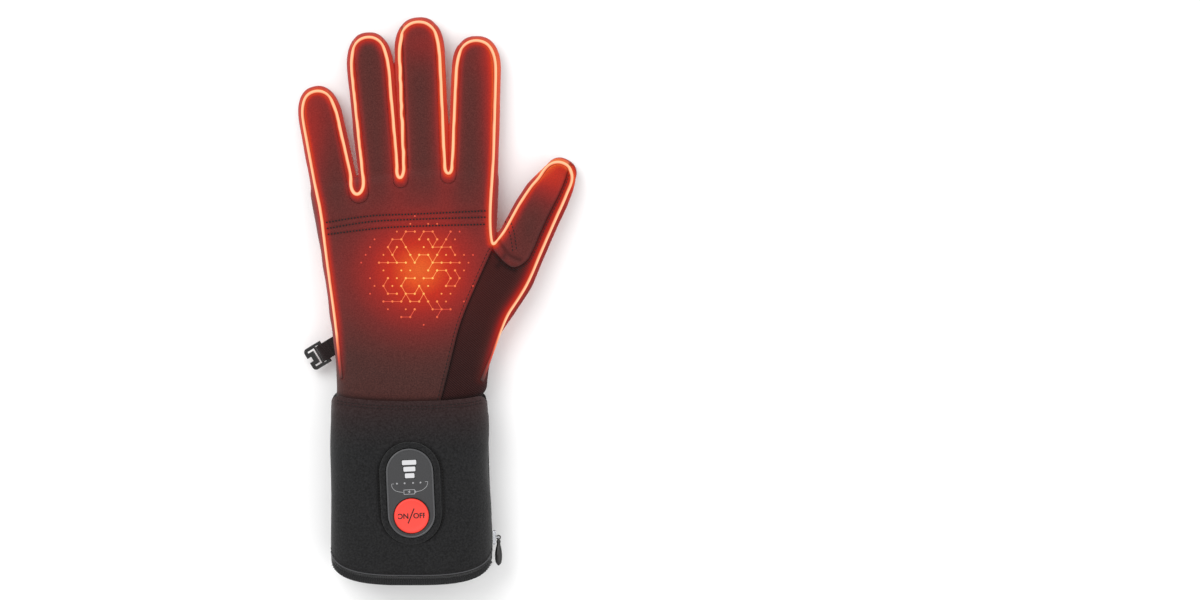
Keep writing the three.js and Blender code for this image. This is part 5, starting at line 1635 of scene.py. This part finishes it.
def letter(word, height):
    """A word as a flat mesh, in millimetres, its middle at the origin."""
    curve = bpy.data.curves.new(word, "FONT")
    curve.body = word
    curve.extrude = 0.02
    curve.offset = 0.022
    text = bpy.data.objects.new(word, curve)
    bpy.context.scene.collection.objects.link(text)
    bpy.context.view_layer.update()
    mesh = bpy.data.meshes.new_from_object(text.evaluated_get(bpy.context.evaluated_depsgraph_get()))
    points = np.array([vertex.co for vertex in mesh.vertices])
    faces = [list(polygon.vertices) for polygon in mesh.polygons]
    bpy.data.objects.remove(text)
    bpy.data.meshes.remove(mesh)
    low, high = points.min(0), points.max(0)
    points = (points - (low + high) / 2) * (height / (high[1] - low[1]))
    points[:, 2] *= 0.12 / max(np.ptp(points[:, 2]), 1e-6)
    return points, faces


def letter_button(button_y, top):
    parts = []
    for word, x in (("ON", -4.8), ("OFF", 4.5)):
        points, faces = letter(word, 3)
        points = points + np.array([x, button_y, top + 0.06])
        parts.append((points, faces))
    slash = flat_stroke([(-2.0, button_y - 4), (1.6, button_y + 4)], 0.6, top, top + 0.12)
    parts.append(slash)
    add_piece("button_letters", *set_on_controller(gather(parts)), button_print, body="button", sharp=40)


def make_welt():
    """Raised rim of thick cloth sewn round the controller."""
    line = stadium(1.95, 40)
    space = np.column_stack([line, np.full(len(line), PLATE_TOP - 1.35)])
    upright = np.tile([0.0, 0, 1], (len(line), 1))
    angles = np.linspace(0, 2 * math.pi, 17)[:-1]
    profile = np.stack([1.6 * np.sign(np.cos(angles)) * np.abs(np.cos(angles)) ** 0.7,
                        1.0 * np.sign(np.sin(angles)) * np.abs(np.sin(angles)) ** 0.7], 1)
    # Its lower half reaches down into the window, so that no light shows under it
    profile[profile[:, 1] < 0, 1] *= 4
    part = sweep(space, upright, profile, closed=True)
    add_piece("welt_cloth", *set_on_controller(part), neoprene, ["window_welt"], "neoprene")


# The zip's slider and pull
def make_zip():
    low, high = (np.array(corner) * 1000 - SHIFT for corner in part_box("zip_slider"))
    middle_z = (low[2] + high[2]) / 2
    y = (low[1] + high[1]) / 2
    base_x = low[0]
    body = rounded_box(4, 2.5, 1.1)
    points, faces = prism(body, 0, 1.3)
    slider = np.stack([points[:, 2] + base_x, points[:, 0] + y, points[:, 1] + middle_z], 1)
    crown = prism(rounded_box(1.4, 1.9, 0.7), 1.2, 1.75)
    crown = (np.stack([crown[0][:, 2] + base_x, crown[0][:, 0] + y + 2.2, crown[0][:, 1] + middle_z], 1), crown[1])
    angles = np.linspace(0, math.pi, 15)
    reach = high[0] - base_x - 0.5
    bail = np.stack([base_x + 1 + (reach - 1) * np.sin(angles), np.full(15, y), middle_z + 2.05 * np.cos(angles)], 1)
    outward = np.tile([0.0, 1, 0], (15, 1))
    bail_part = sweep(bail, outward, circle(0.42, 10))
    piece = add_piece("slider_metal", *gather([(slider, faces), crown, bail_part]), steel,
                      ["zip_slider"], "steel", sharp=40)
    bevel(piece, 0.2, 2)
    pull_low, pull_high = (np.array(corner) * 1000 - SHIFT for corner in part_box("zip_pull"))
    x = (pull_low[0] + pull_high[0]) / 2
    z = (pull_low[2] + pull_high[2]) / 2
    top_y, end_y = y, pull_low[1]
    angles = np.arange(28) * 2 * math.pi / 28
    ring = np.stack([x + 1.0 * np.cos(angles), top_y + 1.0 * np.sin(angles), np.full(28, z)], 1)
    eye = sweep(ring, np.tile([0.0, 0, 1], (28, 1)), circle(0.36, 8), closed=True)
    leaf = [
        {"along": 0.06, "wide": 0.3, "thick": 0.42}, {"along": 0.12, "wide": 0.56, "thick": 0.72},
        {"along": 0.17, "wide": 0.62, "thick": 0.78}, {"along": 0.22, "wide": 0.46, "thick": 0.55},
        {"along": 0.3, "wide": 0.6, "thick": 0.6}, {"along": 0.45, "wide": 0.86, "thick": 0.86},
        {"along": 0.62, "wide": 1, "thick": 1}, {"along": 0.78, "wide": 0.97, "thick": 0.95},
        {"along": 0.9, "wide": 0.78, "thick": 0.76}, {"along": 0.97, "wide": 0.45, "thick": 0.45},
        {"along": 1, "wide": 0.08, "thick": 0.08},
    ]
    fine = np.linspace(leaf[0]["along"], 1, 40)
    half_x = softened(table_value(leaf, fine, "wide"), 3) * (pull_high[0] - pull_low[0]) / 2
    half_z = softened(table_value(leaf, fine, "thick"), 3) * (pull_high[2] - pull_low[2]) / 2
    rings = []
    angles = np.arange(24) * 2 * math.pi / 24
    for along, wide, thick in zip(fine, half_x, half_z):
        rings.append(np.stack([x + wide * np.cos(angles), np.full(24, top_y + along * (end_y - top_y)),
                               z + thick * np.sin(angles)], 1))
    faces = []
    for ring_number in range(len(rings) - 1):
        for side in range(24):
            nxt = (side + 1) % 24
            faces.append([ring_number * 24 + nxt, ring_number * 24 + side,
                          (ring_number + 1) * 24 + side, (ring_number + 1) * 24 + nxt])
    faces.append(list(range(24)))
    faces.append([(len(rings) - 1) * 24 + side for side in range(24)][::-1])
    add_piece("pull_leaf", *gather([eye, (np.concatenate(rings), faces)]), black_plastic,
              ["zip_pull"], "black_plastic", "pull")


# The clip and its folded webbing
CLIP_TURN = 31
CLIP_DROOP = 22
CLIP_FROM_WRIST = 27
WEBBING_LENGTH = 7.5
CLIP_HALF = 6.5
CLIP_END = 18


def on_clip(points):
    """Points made pointing along +Y from the hand's edge, turned out and down to their place."""
    points = np.asarray(points, float)
    droop, turn = math.radians(-CLIP_DROOP), math.radians(90 + CLIP_TURN)
    y = points[:, 1] * math.cos(droop) - points[:, 2] * math.sin(droop)
    z = points[:, 1] * math.sin(droop) + points[:, 2] * math.cos(droop)
    x = points[:, 0] * math.cos(turn) - y * math.sin(turn)
    y = points[:, 0] * math.sin(turn) + y * math.cos(turn)
    edge = column(hand, "shift", CLIP_FROM_WRIST) - column(hand, "half_width", CLIP_FROM_WRIST)
    middle = column(hand, "middle", CLIP_FROM_WRIST)
    return np.stack([x + edge, y + CLIP_FROM_WRIST, z + middle], 1)


def make_clip():
    corner = 2.2
    outline = [(-CLIP_HALF, 6.5), (CLIP_HALF, 6.5)]
    for angle in np.linspace(0, math.pi / 2, 7):
        outline.append((CLIP_HALF - corner + corner * math.cos(angle), CLIP_END - corner + corner * math.sin(angle)))
    outline += [(1.3, CLIP_END), (1.3, 15.4), (-1.3, 15.4), (-1.3, CLIP_END)]
    for angle in np.linspace(math.pi / 2, math.pi, 7):
        outline.append((-CLIP_HALF + corner + corner * math.cos(angle), CLIP_END - corner + corner * math.sin(angle)))
    window = [(-5, 8.5), (5, 8.5), (5, 10.8), (-5, 10.8)]
    gap = [(-4.6, 11.4), (4.6, 11.4), (4.6, 16.4), (3.6, 16.4), (3.6, 13), (-3.6, 13), (-3.6, 16.4), (-4.6, 16.4)]
    points, faces = prism(outline, -0.8, 0.8, [window, gap])
    hook = add_piece("hook_plastic", on_clip(points), faces, black_plastic, ["clip_hook"], "black_plastic", sharp=35)
    bevel(hook, 0.35)
    inner, outer = 1.8, 2.75
    centre_line = []
    middle = (inner + outer) / 2
    centre_line += [(-2.0, 0.62 * middle), (3, 0.66 * middle), (5.2, 0.84 * middle)]
    for angle in np.linspace(0.62 * math.pi, -0.62 * math.pi, 15):
        centre_line.append((WEBBING_LENGTH + middle * math.cos(angle), middle * math.sin(angle)))
    centre_line += [(5.2, -0.84 * middle), (3, -0.66 * middle), (-2.0, -0.62 * middle)]
    path = rounded(np.array(centre_line), 0.4)
    line = np.column_stack([np.zeros(len(path)), path])
    half_width = 4.7
    profile = [(-half_width, -0.4), (-half_width, 0.4), (half_width, 0.4), (half_width, -0.4)]
    heading = np.gradient(path, axis=0)
    heading /= np.linalg.norm(heading, axis=1)[:, None]
    outward = np.column_stack([np.zeros(len(path)), -heading[:, 1], heading[:, 0]])
    band = sweep(line, outward, profile)
    ribs_on = []
    for x in np.arange(-half_width + 0.4, half_width, 0.72):
        shifted_line = line + np.array([x, 0, 0])
        for side in (-1, 1):
            ribs_on.append(sweep(shifted_line + side * 0.42 * outward, outward, circle(0.22, 5)))
    points, faces = gather([band] + ribs_on)
    add_piece("webbing_band", on_clip(points), faces, webbing_cloth, ["webbing_loop"], "webbing")
    cross = []
    for y in (1.8, 4.4):
        row = np.array([(x, y) for x in np.linspace(-4, 4, 9)])
        for x, y_here in row:
            thread_line = np.array([(x - 0.35, y_here, 2.1), (x + 0.35, y_here, 2.1)])
            cross.append(sweep(thread_line, np.tile([0.0, 0, 1], (2, 1)), circle(0.2, 6)))
    points, faces = gather(cross)
    add_piece("webbing_stitches", on_clip(points), faces, thread)


make_hand()
make_cuff()
make_strap()
make_wire()
sew_hand()
sew_cuff()
make_hem()
bind_strap()
print_circuit()
make_honeycomb()
make_palm_wire()
make_controller()
make_welt()
make_zip()
make_clip()


# Floor, light and camera
def make_stage():
    bpy.ops.mesh.primitive_plane_add(size=6, location=(0, 0, -0.0001))
    floor = bpy.context.object
    floor.name = "floor"
    floor.data.materials.append(plain_material("floor_white", (252, 252, 252), 0.9))
    world = bpy.data.worlds.new("sky")
    bpy.context.scene.world = world
    world.use_nodes = True
    world.node_tree.nodes["Background"].inputs["Color"].default_value = (1, 1, 1, 1)
    world.node_tree.nodes["Background"].inputs["Strength"].default_value = 0.85
    lights = [
        {"name": "key", "place": (-0.5, 0.5, 1.3), "size": 0.9, "power": 10},
        {"name": "fill", "place": (0.7, -0.3, 1.2), "size": 1.2, "power": 4},
    ]
    for row in lights:
        light = bpy.data.lights.new(row["name"], "AREA")
        light.size = row["size"]
        light.energy = row["power"]
        lamp = bpy.data.objects.new(row["name"], light)
        lamp.location = row["place"]
        lamp.rotation_mode = "QUATERNION"
        lamp.rotation_quaternion = (-Vector(row["place"])).to_track_quat("-Z", "Y")
        bpy.context.scene.collection.objects.link(lamp)


FRAME_WIDTH = 0.66
FRAME_MIDDLE_X = 0.0895
CAMERA_LENS = 200
GLOVE_MIDDLE_HEIGHT = 0.02


def make_camera():
    camera = bpy.data.cameras.new("camera")
    camera.lens = CAMERA_LENS
    camera.sensor_width = 36
    holder = bpy.data.objects.new("camera", camera)
    distance = FRAME_WIDTH * CAMERA_LENS / camera.sensor_width
    holder.location = (FRAME_MIDDLE_X, 0, GLOVE_MIDDLE_HEIGHT + distance)
    camera.clip_end = 2 * distance
    bpy.context.scene.collection.objects.link(holder)
    bpy.context.scene.camera = holder


make_stage()
make_camera()
bpy.context.scene.view_settings.view_transform = "Standard"
